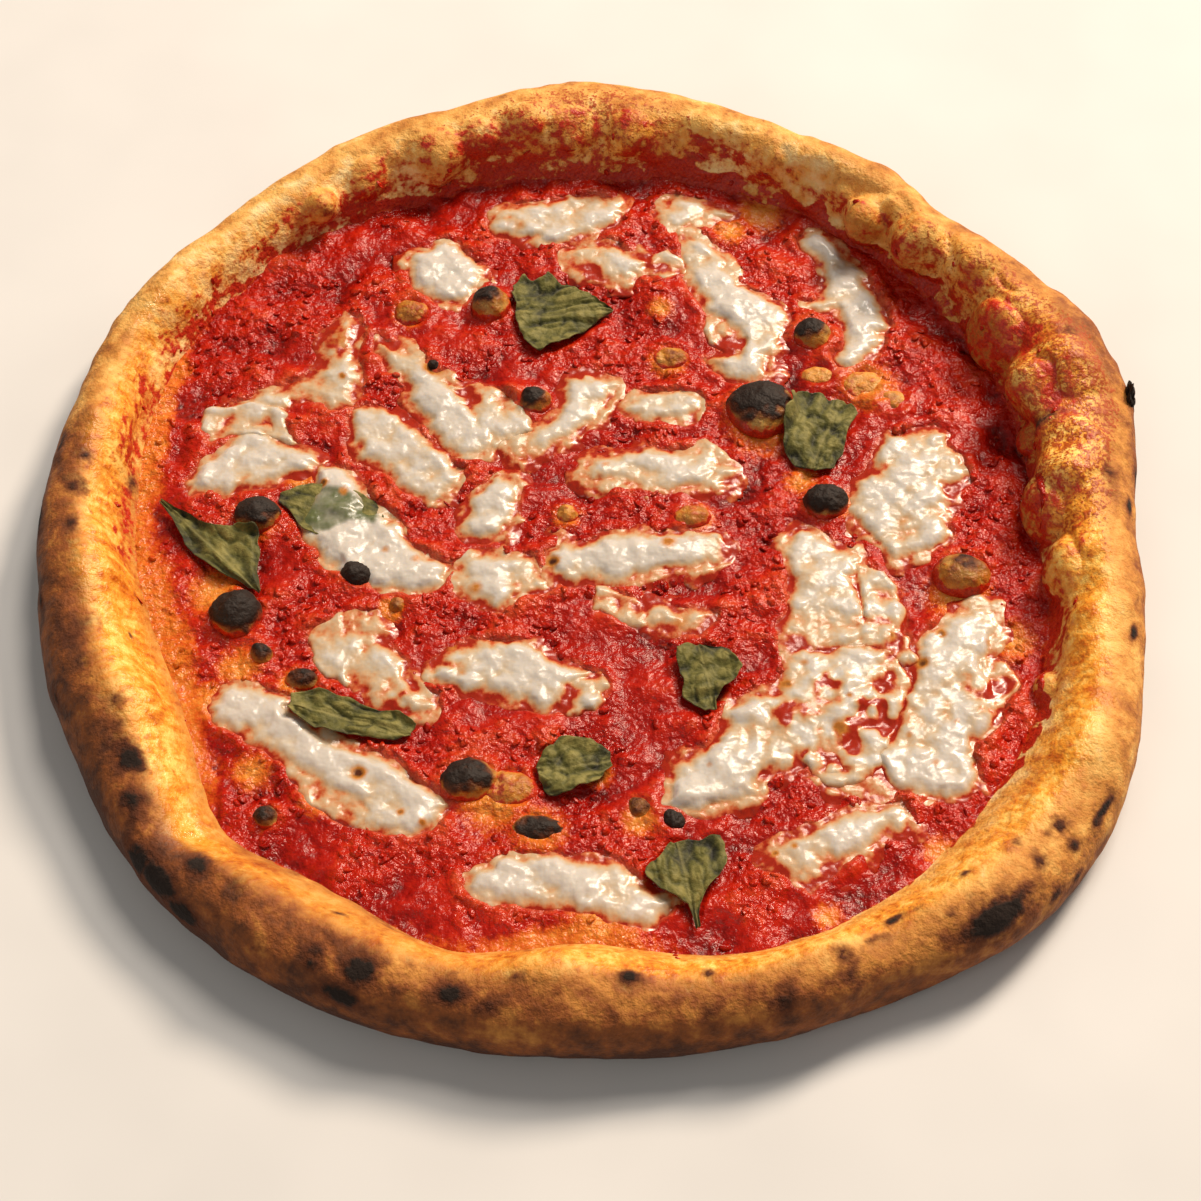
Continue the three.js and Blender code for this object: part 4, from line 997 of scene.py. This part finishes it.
# Where its coat is thin the dough shows through, and whey from the cheese makes pale patches.
cover = disc[:, 2] - dough
pale = 0.3 * smooth(0.05, 0.6, lumps(disc, 19, 54)) * (1 - pool)
thin = np.maximum(thin, 0.42 * (1 - smooth(0.1, 0.9, cover)))
print("the sauce stands", round(disc[:, 2].max(), 1), "mm high at most")

# %% Closing the sauce
# A skirt hangs from the disc's edge, and one flat face closes it underneath.
rim_loop = np.arange(GRID * GRID).reshape(GRID, GRID)
rim_loop = np.concatenate([rim_loop[:-1, 0], rim_loop[-1, :-1], rim_loop[:0:-1, -1],
                           rim_loop[0, :0:-1]])
skirt = disc[rim_loop] * [1, 1, 0] + [0, 0, BASE + 0.1]
start = len(disc)
below = np.arange(start, start + len(rim_loop))
walls = np.stack([np.roll(rim_loop, -1), rim_loop, below, np.roll(below, -1)], -1)
sauce_points = np.vstack([disc, skirt])
sauce_faces = (grid_faces(GRID, GRID).tolist() + walls.tolist() + [below[::-1].tolist()])
pad = np.zeros(len(skirt))
# The height of the grains becomes a colour value: low in the hollows for painted shade, high on the
# crests for painted light.
sauce = make_piece(
    "crushed_tomato", sauce_points, sauce_faces, sauce_finish, "sauce", ["tomato_sauce"],
    grains=np.append(0.13 + 0.1 * rise - 0.03 * pool, pad), thin=np.append(thin, pad),
    milky=np.append(np.maximum(0.72 * smooth(-3.5, 0.5, in_cheese), pale), pad),
    pool=np.append(pool, pad),
    bare=np.append(bare * (1 - thin) * (up < 0), pad))
print("sauce corners:", GRID * GRID, "about", round(2 * foot.mean() / GRID, 2), "mm apart")

# %% [markdown]
# ## Blisters of dough
# Where the base had a gas bubble, it came up through the sauce and its top burnt to matte
# black charcoal, with orange oily sides. Pushing them up out of the crust's own mesh would
# need tiny cells all over the base, so each is a dome of its own with a lumpy skin. They share
# the crust's material: their tops are painted with char, and their feet with sauce.

# %% Domes with burnt caps
ROUND, UP = 64, 30  # corners round a dome, and from its crown down past its widest ring
spin, tilt = (g.ravel() for g in np.meshgrid(
    np.linspace(0, 2 * np.pi, ROUND, endpoint=False), np.linspace(0.06, 1.75, UP), indexing="ij"))
ball = np.stack([np.sin(tilt) * np.cos(spin), np.sin(tilt) * np.sin(spin), np.cos(tilt)], -1)
ball = np.vstack([ball, [[0, 0, 1], [0, 0, -0.2]]])
crown, sole = ROUND * UP, ROUND * UP + 1
column = (np.arange(ROUND) * UP).tolist()
beside = column[1:] + column[:1]
dome_faces = (grid_faces(ROUND, UP, closed=True)[:, ::-1].tolist()
              + [[a, b, crown] for a, b in zip(column, beside)]
              + [[b + UP - 1, a + UP - 1, sole] for a, b in zip(column, beside)])
print("faces of a dome:", len(dome_faces))

# %% The blisters
dome_points, dome_polygons, dome_char, dome_toast, dome_oil, dome_stain = [], [], [], [], [], []
for number, blister in enumerate(BLISTERS):
    x, y, radius, height, burnt, cap_edge, lean_x, lean_y, wide = blister
    shape = ball * [radius * wide, radius / wide ** 0.3, height]
    puffy = 1 + 0.09 * lumps(ball * 6 + number * 20, 6, 20) + 0.04 * lumps(ball * 6 + number, 2, 21)
    shape = shape * puffy[:, None]
    shape[:, 2] = np.where(shape[:, 2] < 0, shape[:, 2] * 0.2, shape[:, 2])
    upward = ball @ np.array([lean_x, lean_y, 1]) / np.hypot(1, np.hypot(lean_x, lean_y))
    cap = smooth(cap_edge - 0.3, cap_edge + 0.26, upward + 0.2 * lumps(shape + number, 2.2, 23))
    crackle = 0.7 * pebbles(shape + number * 9, 1.1, 22) + 0.5 * lumps(shape + number, 0.9, 24)
    shape += ball * (0.45 * crackle * cap * burnt + 0.35 * lumps(shape, 2.2, 25))[:, None]
    dome_polygons += [[v + number * len(ball) for v in f] for f in dome_faces]
    dome_points.append(shape + [x, y, BASE])
    dome_char.append(cap * burnt * 0.95)
    dome_toast.append(0.42 + 0.4 * smooth(cap_edge - 0.6, cap_edge, upward) * burnt)
    dome_oil.append(np.full(len(ball), 0.5))
    dome_stain.append(0.8 - (0.4 + 0.4 * burnt) * smooth(0.3, 0.9, ball[:, 2]))
make_piece(
    "dough_blisters", np.vstack(dome_points), dome_polygons, dough_finish, "crust", ["dough"],
    char=np.concatenate(dome_char), toast=np.concatenate(dome_toast),
    oil=np.concatenate(dome_oil), stain=np.concatenate(dome_stain),
    speck=np.full(len(ball) * len(BLISTERS), 0.5), wet=np.full(len(ball) * len(BLISTERS), 0.25),
    wrapped=np.vstack(dome_points) / 1000)
print("blisters:", len(BLISTERS), "tallest", max(b[3] for b in BLISTERS) + BASE, "mm")

# %% A burnt flake that stands out from the rim
# A scrap of dough on the +X side burnt through. It is a dented dome, thin and taller than wide.
flake = ball * (1 + 0.35 * lumps(ball * 3, 1.4, 61) + 0.2 * lumps(ball * 3, 0.6, 62))[:, None]
flake = flake * [1.7, 4.2, 6.2]
edge_point = rim_surface(np.radians([13.0]), np.array([1.25]))[0][0]
print("the flake stands at", [round(c, 1) for c in edge_point.tolist()])
make_piece("burnt_flake", flake + edge_point + [-1, 0, 0.5], dome_faces, dough_finish, "crust",
           ["dough"], **{n: np.full(len(ball), v) for n, v in (
               ("toast", 1), ("oil", 0), ("stain", 0), ("speck", 0), ("char", 1.2), ("wet", 0))})

# %% [markdown]
# ## Melted mozzarella
# Melted cheese is a soft heap that thins to a film at its edge, sinks a little into the sauce
# and has hollows, bubbles and toasted spots. Metaballs could give the heap, but not the film
# and its torn edge. So each piece is a sheet of height values over its own small grid, closed
# underneath. Its true edge is where the sheet dives below the sauce, so it comes out as ragged
# as the real one. Melt says how thick the cheese is, toasted where it browned, and leafy where
# a leaf lies under it.

# %% Recipe: melted mozzarella
cheese_finish, tree, place = new_recipe("melted_mozzarella")
melt, toasted, leafy = (painted_value(tree, label) for label in ("melt", "toasted", "leafy"))
cloud, fleck = noise(tree, place, 6, 3, 0.55), noise(tree, place, 1.8, 3, 0.5)

# Thin cheese lets the tomato through and looks orange; thick cheese is warm white.
body = both(tree, cloud, 0.9, both(tree, fleck, 0.4, melt))
milk = add(tree, "ShaderNodeValToRGB", {0: both(tree, body, 0.8, -0.19)},
           stops=[(0.36, "9c2209"), (0.43, "b9582f"), (0.52, "c58a5e"), (0.64, "c4a582"),
                  (0.8, "c1b19b"), (1.0, "c6c0b9")]).outputs[0]
milk, _ = lay_over(tree, milk, colour("5c6440"), both(tree, cloud, 0.9, leafy), 0.85, 1.5)
browned = both(tree, fleck, 0.5, toasted)
milk, _ = lay_over(tree, milk, colour("bd7a30"), browned, 0.4, 0.8)
milk, _ = lay_over(tree, milk, colour("4f240f"), browned, 0.75, 1.15)

# Milk fat on its skin gives a soft gloss in long waves, and light sinks in and comes back warm.
wave = both(tree, noise(tree, place, 6, 1), 2.6, noise(tree, place, 2.6, 1))
relief = add(tree, "ShaderNodeBump", {"Height": wave, "Strength": 1, "Distance": 0.36 * MM})
surface = add(tree, "ShaderNodeBsdfPrincipled", {
    "Base Color": milk, "Roughness": 0.25, "IOR": 1.45, "Normal": relief.outputs[0],
    "Subsurface Weight": 0.35, "Subsurface Radius": (1, 0.75, 0.5),
    "Subsurface Scale": 2.5 * MM})
add(tree, "ShaderNodeOutputMaterial", {0: surface.outputs[0]})
print("nodes in the mozzarella:", len(tree.nodes))

# %% Where the cheese browned and where it is thin
# Toasted spots on the cheese: x, y, reach, strength.
TOASTED = [(-77, 14, 1.5, .8), (-71, 11, 1.5, .6), (-58, -9, 1.4, .5), (-49, -12, 1.7, .5),
           (-62, -82, 2.2, 1), (-50, -94, 1.3, .7), (-44, -97, 1.3, .7), (-10, -13, 2, 1),
           (23, -7, 2.3, .7), (30, -5, 2.3, .3), (-32, -22, 2.3, .6), (5, 21, 1.8, .4),
           (26, -33, 2.8, .4), (-38, -41, 2.2, .4), (-35, -50, 1.7, .4), (99, -37, 1.7, .8),
           (93, -47, 1.9, .9), (69, -68, 2.5, .7), (55, -54, 2.2, .7), (94, -79, 1.6, .4),
           (91, 1, 2, .4), (50, -106, 1.3, .7), (55, -104, 1.3, .6), (-47, 57, 3, 1),
           (-23, 114, 3.8, .3), (39, 60, 3.6, .35), (37, 100, 1.5, .4), (-74, 54, 1.5, .7),
           (-75, 68, 4.2, .35), (85, -38, 1.6, .7), (112, -40, 1.2, .5), (60, -47, 1.4, .5),
           (72, -58, 1.2, .6), (88, -70, 1.2, .5), (33, -80, 1.2, .4), (101, -66, 1.3, .4)]

# Patches where the cheese is so thin that tomato shows through: x, y, reach, amount.
THINNED = [(55, -65, 5.5, .7), (66, -54, 6, .7), (68, -68, 6, .7), (112, -58, 6, .6),
           (80, -60, 7, .75), (106, -57, 4, .4), (49, -78, 4.5, .5), (75, -76, 7, .65),
           (59, -40, 4, .35), (79, -30, 5, .6), (85, -38, 5, .55), (-1, 54, 4, .45),
           (-9, 59, 4, .5), (-35, 46, 4, .4), (-37, -47, 4, .4), (-25, -40, 4, .35),
           (-8, -56, 5, .55), (-84, 19, 3, .4), (-47, 26, 4, .35), (20, 99, 4, .5),
           (43, 65, 5, .5), (36, 83, 3, .35), (85, 20, 3.5, .35), (-75, 68, 7, .65),
           (-23, 114, 6, .45), (17, -31, 4, .5), (-61, 65, 4, .5), (-100, 15, 4, .35),
           (-68, 30, 4, .4), (4, 18, 3, .35), (-5, -17, 5, .4), (38, -8, 4, .4),
           (-18, -24, 5, .45), (-52, -58, 6, .5), (62, -110, 5, .4), (50, -108, 4, .45),
           (-60, -85, 4, .3), (0, 96, 5, .45), (28, 121, 5, .4), (75, 60, 4, .4),
           (95, 12, 15, .32), (99, -58, 17, .32), (66, -22, 13, .32), (52, -70, 19, .32)]
print("toasted spots:", len(TOASTED), "thin patches:", len(THINNED))

# %% The pieces of mozzarella
CELL = 0.6  # width of the cells of a piece's grid
MARGIN = 5  # how far that grid goes past the outline
DIVES, UNDER = -1.2, -1.6  # how far under the sauce the sheet ends, and the piece's flat bottom
cheese_triangles = 0
for number, (_, *outline) in enumerate(MOZZARELLA):
    outline += FILMS.get(number, [0])[1:]
    low, high = np.min(outline, axis=0) - MARGIN, np.max(outline, axis=0) + MARGIN
    side_x, side_y = np.arange(low[0], high[0], CELL), np.arange(low[1], high[1], CELL)
    gx, gy = (g.ravel() for g in np.meshgrid(side_x, side_y, indexing="ij"))
    spot = np.stack([gx, gy, 0 * gx], -1)
    heap = heap_of(number, spot)
    keep = heap > DIVES
    faces = grid_faces(len(side_x), len(side_y))
    faces = faces[keep[faces].all(1)]
    bed = sauce_top(spot)
    top = spot + [0, 0, 1] * (bed + heap)[:, None]
    bottom = spot + [0, 0, 1] * (bed + UNDER)[:, None]
    spots = in_spots(spot, TOASTED)
    shown = np.clip(heap / 1.8, 0, 1)
    for tx, ty, size, amount in THINNED:
        gap = (gx - tx) ** 2 + (gy - ty) ** 2
        near = gap < 6 * size ** 2
        shown[near] -= (amount * np.exp(-gap[near] / size ** 2)
                        * (0.8 + lumps(spot[near], 3, 55)))
    over = [i for i, leaf in enumerate(BASIL) if number in leaf[5]]
    leafy = sum((smooth(-1, 2, depth_in(leaf_outline(i), spot)) for i in over), 0 * gx)
    points, faces, used = closed_slab(top, bottom, faces)
    make_piece(
        f"melted_mozzarella_{number + 1:02d}", points, faces, cheese_finish, "cheese",
        [f"mozzarella_{number + 1:02d}"], melt=np.tile(shown[used], 2),
        toasted=np.tile(spots[used], 2), leafy=np.tile(leafy[used], 2))
    cheese_triangles += 2 * len(faces)
print("mozzarella triangles:", cheese_triangles)

# %% [markdown]
# ## Basil
# Basil that has been through the oven is dull, dark and crinkled, with a pale midrib and side
# veins. A cloth simulation could drop eight leaves on the pizza, but they would lie a little
# differently in each version. So a leaf is a thin sheet that follows what it lies on: its
# outline swells and narrows along the midrib, its edges curl, and soft pillows with narrow
# creases between them cover the blade.

# %% Recipe: oven-dried basil
leaf_finish, tree, place = new_recipe("oven_dried_basil")
vein, pucker = (painted_value(tree, label) for label in ("vein", "pucker"))
dry, fibre = noise(tree, place, 3.5, 4), noise(tree, place, 0.9, 3, 0.5)
# The green is darker in the leaf's creases and lighter on the pillows between them: painted shade
# that follows its relief.
green = add(tree, "ShaderNodeValToRGB", {0: both(tree, dry, 0.7, pucker)},
            stops=[(0.3, "141505"), (0.5, "33340f"), (0.7, "56541f"),
                   (0.95, "827a40")]).outputs[0]
green = add(tree, "ShaderNodeMix", {
    0: both(tree, vein, 0.45, 0), 6: green, 7: colour("857d4a")}, data_type="RGBA").outputs[2]

# The oven dried its waxy skin, so it is dull with a faint bloom. Its dark creases are painted shade
# in the green.
relief = add(tree, "ShaderNodeBump", {
    "Height": both(tree, dry, 1.5, fibre), "Strength": 0.6, "Distance": 0.5 * MM})
surface = add(tree, "ShaderNodeBsdfPrincipled", {
    "Base Color": green, "Roughness": 0.62, "IOR": 1.35, "Normal": relief.outputs[0],
    "Sheen Weight": 0.15})
add(tree, "ShaderNodeOutputMaterial", {0: surface.outputs[0]})
print("nodes in the basil:", len(tree.nodes))

# %% What a leaf rests on
GAP = 0.35  # air between a leaf and what it lies on


def support_top(points, passed_over):
    """The surface a leaf rests on: sauce, mozzarella and blisters, a little enlarged."""
    heap = np.zeros(len(points))
    for number, (_, *outline) in enumerate(MOZZARELLA):
        near = close_to(outline, points, 4)
        if number not in passed_over and len(near):
            heap[near] = np.maximum(heap[near], heap_of(number, points[near]))
    z = sauce_top(points) + GAP + heap
    for bx, by, radius, height, *_ in BLISTERS:
        d = np.hypot(points[:, 0] - bx, points[:, 1] - by) / (radius + 1.4)
        dome = BASE + 1.6 * GAP + (height + 0.3) * np.sqrt(np.clip(1 - d * d, 0, 1))
        z = np.where(d < 1, np.maximum(z, dome), z)
    return z


print("the third leaf's stem rests at", round(support_top(
    np.array([[*BASIL[2][0], 0.0]]), ())[0], 1), "mm")

# %% The leaves
LONG, WIDE = 80, 56  # corners along a leaf and across it
LEAF_THICK = 0.8
for number, (stem, tip, cup, wave, lift, under_cheese) in enumerate(BASIL):
    stem, tip = np.array(stem, float), np.array(tip, float)
    length = np.linalg.norm(tip - stem)
    ahead = (tip - stem) / length
    side = np.array([-ahead[1], ahead[0]])
    u, v = (g.ravel() for g in np.meshgrid(np.linspace(0, 1, LONG), np.linspace(-1, 1, WIDE),
                                           indexing="ij"))
    left, right = (np.interp(u, np.linspace(0, 1, 9), reach) for reach in OUTLINES[number])
    rim_place = np.stack([u * length, np.sign(v) * 30 + number * 7, 0 * u], -1)
    half = np.where(v > 0, left, right) * (1 + 0.1 * lumps(rim_place, 3, 41)) + 0.3
    across = v * half
    end_wave = 0.8 * lumps(np.stack([across, 0 * u + number * 9, 0 * u], -1), 3, 45) * (2 * u - 1)
    flat = stem + np.outer(u * length + end_wave, ahead) + np.outer(across, side)
    points = np.column_stack([flat, 0 * u])
    blade = np.sin(np.pi * np.clip(0.04 + 0.93 * u, 0, 1))
    ripple = 1 + np.sin(u * 9 + v * 2 + number) * np.cos(v * 4 - u * 3 + number)
    z = support_top(points, under_cheese) + lift + cup * v * v * blade + wave * ripple
    cloth = np.stack([0.55 * u * length, across, 0 * u + number * 50], -1)
    fold, crinkle, fine = (np.clip(5 * abs(lumps(cloth, size, seed)) - 1, -1, 0.8)
                           for size, seed in ((6, 43), (2.9, 44), (1.5, 49)))
    bow = u * length - 0.9 * abs(across) + 0.8 * lumps(cloth, 3, 47)
    ribs = smooth(0.7, 1, np.cos(bow * 2 * np.pi / 4.6))
    hollow = lumps(np.stack([u * length, across, 0 * u + number * 70], -1), 9, 48)
    vein = np.maximum(np.exp(-(across / 0.45) ** 2), 0.4 * ribs)
    curl = abs(v) ** 5 * lumps(rim_place, 7, 46)
    flatter = 0.35 if under_cheese else 1
    relief_up = (0.3 + 0.6 * fold + 0.3 * crinkle + 0.14 * fine + 0.8 * hollow + 1.2 * curl
                 - 0.25 * vein)
    z += flatter * relief_up * smooth(0, 2, half)
    # This colour value follows the relief, low in the creases and high on the pillows, for painted
    # shade.
    pucker = 0.27 + 0.15 * fold + 0.12 * crinkle + 0.07 * fine + 0.1 * hollow
    points = np.column_stack([flat, z])
    corners, faces, used = closed_slab(points + [0, 0, LEAF_THICK / 2], points,
                                       grid_faces(LONG, WIDE))
    make_piece(f"basil_leaf_{number + 1}", corners, faces, leaf_finish, "leaf",
               [f"basil_{number + 1:02d}"], vein=np.tile(vein[used], 2),
               pucker=np.tile(pucker[used], 2))
print("leaves:", len(BASIL))

# %% [markdown]
# ## Pulp and splashes
# Real crushed tomato has thousands of soft lumps, and drops of it lie on the inner wall of the
# crust. Placing them by hand would take days, so a tree of geometry nodes scatters them: it
# draws points on the host's surface, most where a painted value is high, sets a lump on each,
# turns and stretches it, and makes the lot one plain mesh.

# %% A tree that scatters lumps
scatter_tree = bpy.data.node_groups.new("scattered_lumps", "GeometryNodeTree")
for label, kind in (("Host", "Geometry"), ("Per square metre", "Float"), ("Where", "String"),
                    ("Smallest", "Vector"), ("Largest", "Vector"), ("Seed", "Int"),
                    ("Finish", "Material")):
    scatter_tree.interface.new_socket(label, in_out="INPUT", socket_type=f"NodeSocket{kind}")
scatter_tree.interface.new_socket("Lumps", in_out="OUTPUT", socket_type="NodeSocketGeometry")
given = add(scatter_tree, "NodeGroupInput").outputs
amount = add(scatter_tree, "GeometryNodeInputNamedAttribute", {"Name": given["Where"]},
             data_type="FLOAT").outputs["Attribute"]
amount = add(scatter_tree, "ShaderNodeMath", {0: amount, 1: given["Per square metre"]},
             operation="MULTIPLY", use_clamp=False).outputs[0]
dots = add(scatter_tree, "GeometryNodeDistributePointsOnFaces",
           {"Mesh": given["Host"], "Density": amount, "Seed": given["Seed"]})
lump = add(scatter_tree, "GeometryNodeMeshIcoSphere", {"Radius": 1, "Subdivisions": 2})
dent = add(scatter_tree, "ShaderNodeTexNoise", {"Scale": 1.3, "Detail": 1})
dent = add(scatter_tree, "ShaderNodeVectorMath", {
    0: dent.outputs["Color"], 1: (0.6, 0.6, 0.6), 2: (-0.3, -0.3, -0.3)}, operation="MULTIPLY_ADD")
lump = add(scatter_tree, "GeometryNodeSetPosition",
           {"Geometry": lump.outputs["Mesh"], "Offset": dent.outputs[0]})
stretch = add(scatter_tree, "FunctionNodeRandomValue",
              {0: given["Smallest"], 1: given["Largest"], "Seed": given["Seed"]},
              data_type="FLOAT_VECTOR")
lumps_set = add(scatter_tree, "GeometryNodeInstanceOnPoints", {
    "Points": dots.outputs["Points"], "Instance": lump.outputs[0],
    "Rotation": dots.outputs["Rotation"], "Scale": stretch.outputs[0]})
spin = add(scatter_tree, "FunctionNodeRandomValue",
           {0: (0, 0, 0), 1: (0.5, 0.5, 6.28), "Seed": given["Seed"]}, data_type="FLOAT_VECTOR")
lumps_set = add(scatter_tree, "GeometryNodeRotateInstances",
                {"Instances": lumps_set.outputs[0], "Rotation": spin.outputs[0]})
plain = add(scatter_tree, "GeometryNodeRealizeInstances", {0: lumps_set.outputs[0]})
plain = add(scatter_tree, "GeometryNodeSetShadeSmooth", {0: plain.outputs[0]})
plain = add(scatter_tree, "GeometryNodeSetMaterial",
            {0: plain.outputs[0], "Material": given["Finish"]})
add(scatter_tree, "NodeGroupOutput", {0: plain.outputs[0]})
print("nodes in the scatter tree:", len(scatter_tree.nodes))


# %% Using the tree
def scatter(name, host, stands_for, settings):
    """Scatters lumps on a copy of the host and keeps them as a plain piece."""
    helper = bpy.data.objects.new("host", host.data)
    bpy.context.scene.collection.objects.link(helper)
    modifier = helper.modifiers.new("scatter", "NODES")
    modifier.node_group = scatter_tree
    sockets = {s.name: s.identifier for s in scatter_tree.interface.items_tree}
    for label, value in settings.items():
        modifier[sockets[label]] = value
    evaluated = helper.evaluated_get(bpy.context.evaluated_depsgraph_get())
    mesh = bpy.data.meshes.new_from_object(evaluated)
    bpy.data.objects.remove(helper)
    print(name, "triangles:", sum(len(p.vertices) - 2 for p in mesh.polygons))
    return finish_piece(name, mesh, settings["Finish"], stands_for)


# %% Scattering the pulp and the splashes
scatter("tomato_pulp", sauce, ["tomato_sauce"], {
    "Per square metre": 42000.0, "Where": "bare", "Seed": 3, "Finish": sauce_finish,
    "Smallest": (0.5 * MM, 0.5 * MM, 0.35 * MM), "Largest": (1.9 * MM, 1.6 * MM, 0.9 * MM)})
scatter("tomato_splashes", crust, ["tomato_sauce"], {
    "Per square metre": 16000.0, "Where": "drops", "Seed": 5, "Finish": sauce_finish,
    "Smallest": (0.4 * MM, 0.4 * MM, 0.2 * MM), "Largest": (2 * MM, 1.2 * MM, 0.5 * MM)})

# %% [markdown]
# ## Camera, light and floor
# The camera looks down at 57 degrees, as someone standing at the table would. Two warm lights
# from behind on the right give the wet cheese and sauce their highlights, and a weak one in
# front on the left keeps the shaded side readable. A sky picture could light it as well, but
# three round lamps are easier to read and to move.

# %% The camera
PICTURE = 1201  # width and height of the picture, in pixels
FOCAL = 2500  # focal length, in the same pixels
SENSOR = 36  # width of the sensor in mm
LOOKS_DOWN = 57  # degrees below the horizon
camera = bpy.data.objects.new("camera", bpy.data.cameras.new("camera"))
camera.data.sensor_width, camera.data.lens = SENSOR, FOCAL / PICTURE * SENSOR
camera.location = (-0.000273, -0.411777, 0.599502)
camera.rotation_euler = (np.radians(90 - LOOKS_DOWN), 0, 0)
camera.data.clip_end = 20
bpy.context.scene.collection.objects.link(camera)
bpy.context.scene.camera = camera
print("camera distance", round(camera.location.length, 3), "m")


# %% The lamps
def lamp(name, place, size, power, tint):
    """A round soft lamp that points at the pizza."""
    light = bpy.data.objects.new(name, bpy.data.lights.new(name, "AREA"))
    light.data.shape, light.data.size = "DISK", size
    light.data.energy, light.data.color = power, colour(tint)[:3]
    light.location = place
    light.rotation_euler = (-Vector(place)).to_track_quat("-Z", "Y").to_euler()
    bpy.context.scene.collection.objects.link(light)
    print(name, "lamp at", place)


lamp("key", (1.5, 1.75, 1.9), 0.7, 104, "ffe9cf")
lamp("window", (0.75, 1.5, 2.4), 0.9, 44, "fff0de")
lamp("fill", (-1.6, -1.8, 2.2), 1.6, 14, "fff4e6")
world = bpy.data.worlds.new("studio")
bpy.context.scene.world = world
world.use_nodes = True
world.node_tree.nodes["Background"].inputs[0].default_value = colour("f4efe6")
world.node_tree.nodes["Background"].inputs[1].default_value = 0.22
bpy.context.scene.view_settings.view_transform = "Standard"

# %% The floor
# Matte painted board, with clouds so faint that it only looks less like a computer's white.
floor_finish, tree, place = new_recipe("pale_matte_floor")
faint = noise(tree, place, 60, 2, 0.5)
tone = add(tree, "ShaderNodeValToRGB", {0: faint}, stops=[(0.3, "d2d3d5"), (0.7, "d9dadc")])
surface = add(tree, "ShaderNodeBsdfPrincipled", {"Base Color": tone.outputs[0], "Roughness": 0.8})
add(tree, "ShaderNodeOutputMaterial", {0: surface.outputs[0]})
HALF = 3  # half the floor's width, in metres
floor_mesh = bpy.data.meshes.new("floor")
floor_mesh.from_pydata([(-HALF, -HALF, 0), (HALF, -HALF, 0), (HALF, HALF, 0), (-HALF, HALF, 0)],
                       [], [(0, 1, 2, 3)])
floor_mesh.materials.append(floor_finish)
floor = bpy.data.objects.new("floor", floor_mesh)
bpy.context.scene.collection.objects.link(floor)
print("floor:", 2 * HALF, "m wide")
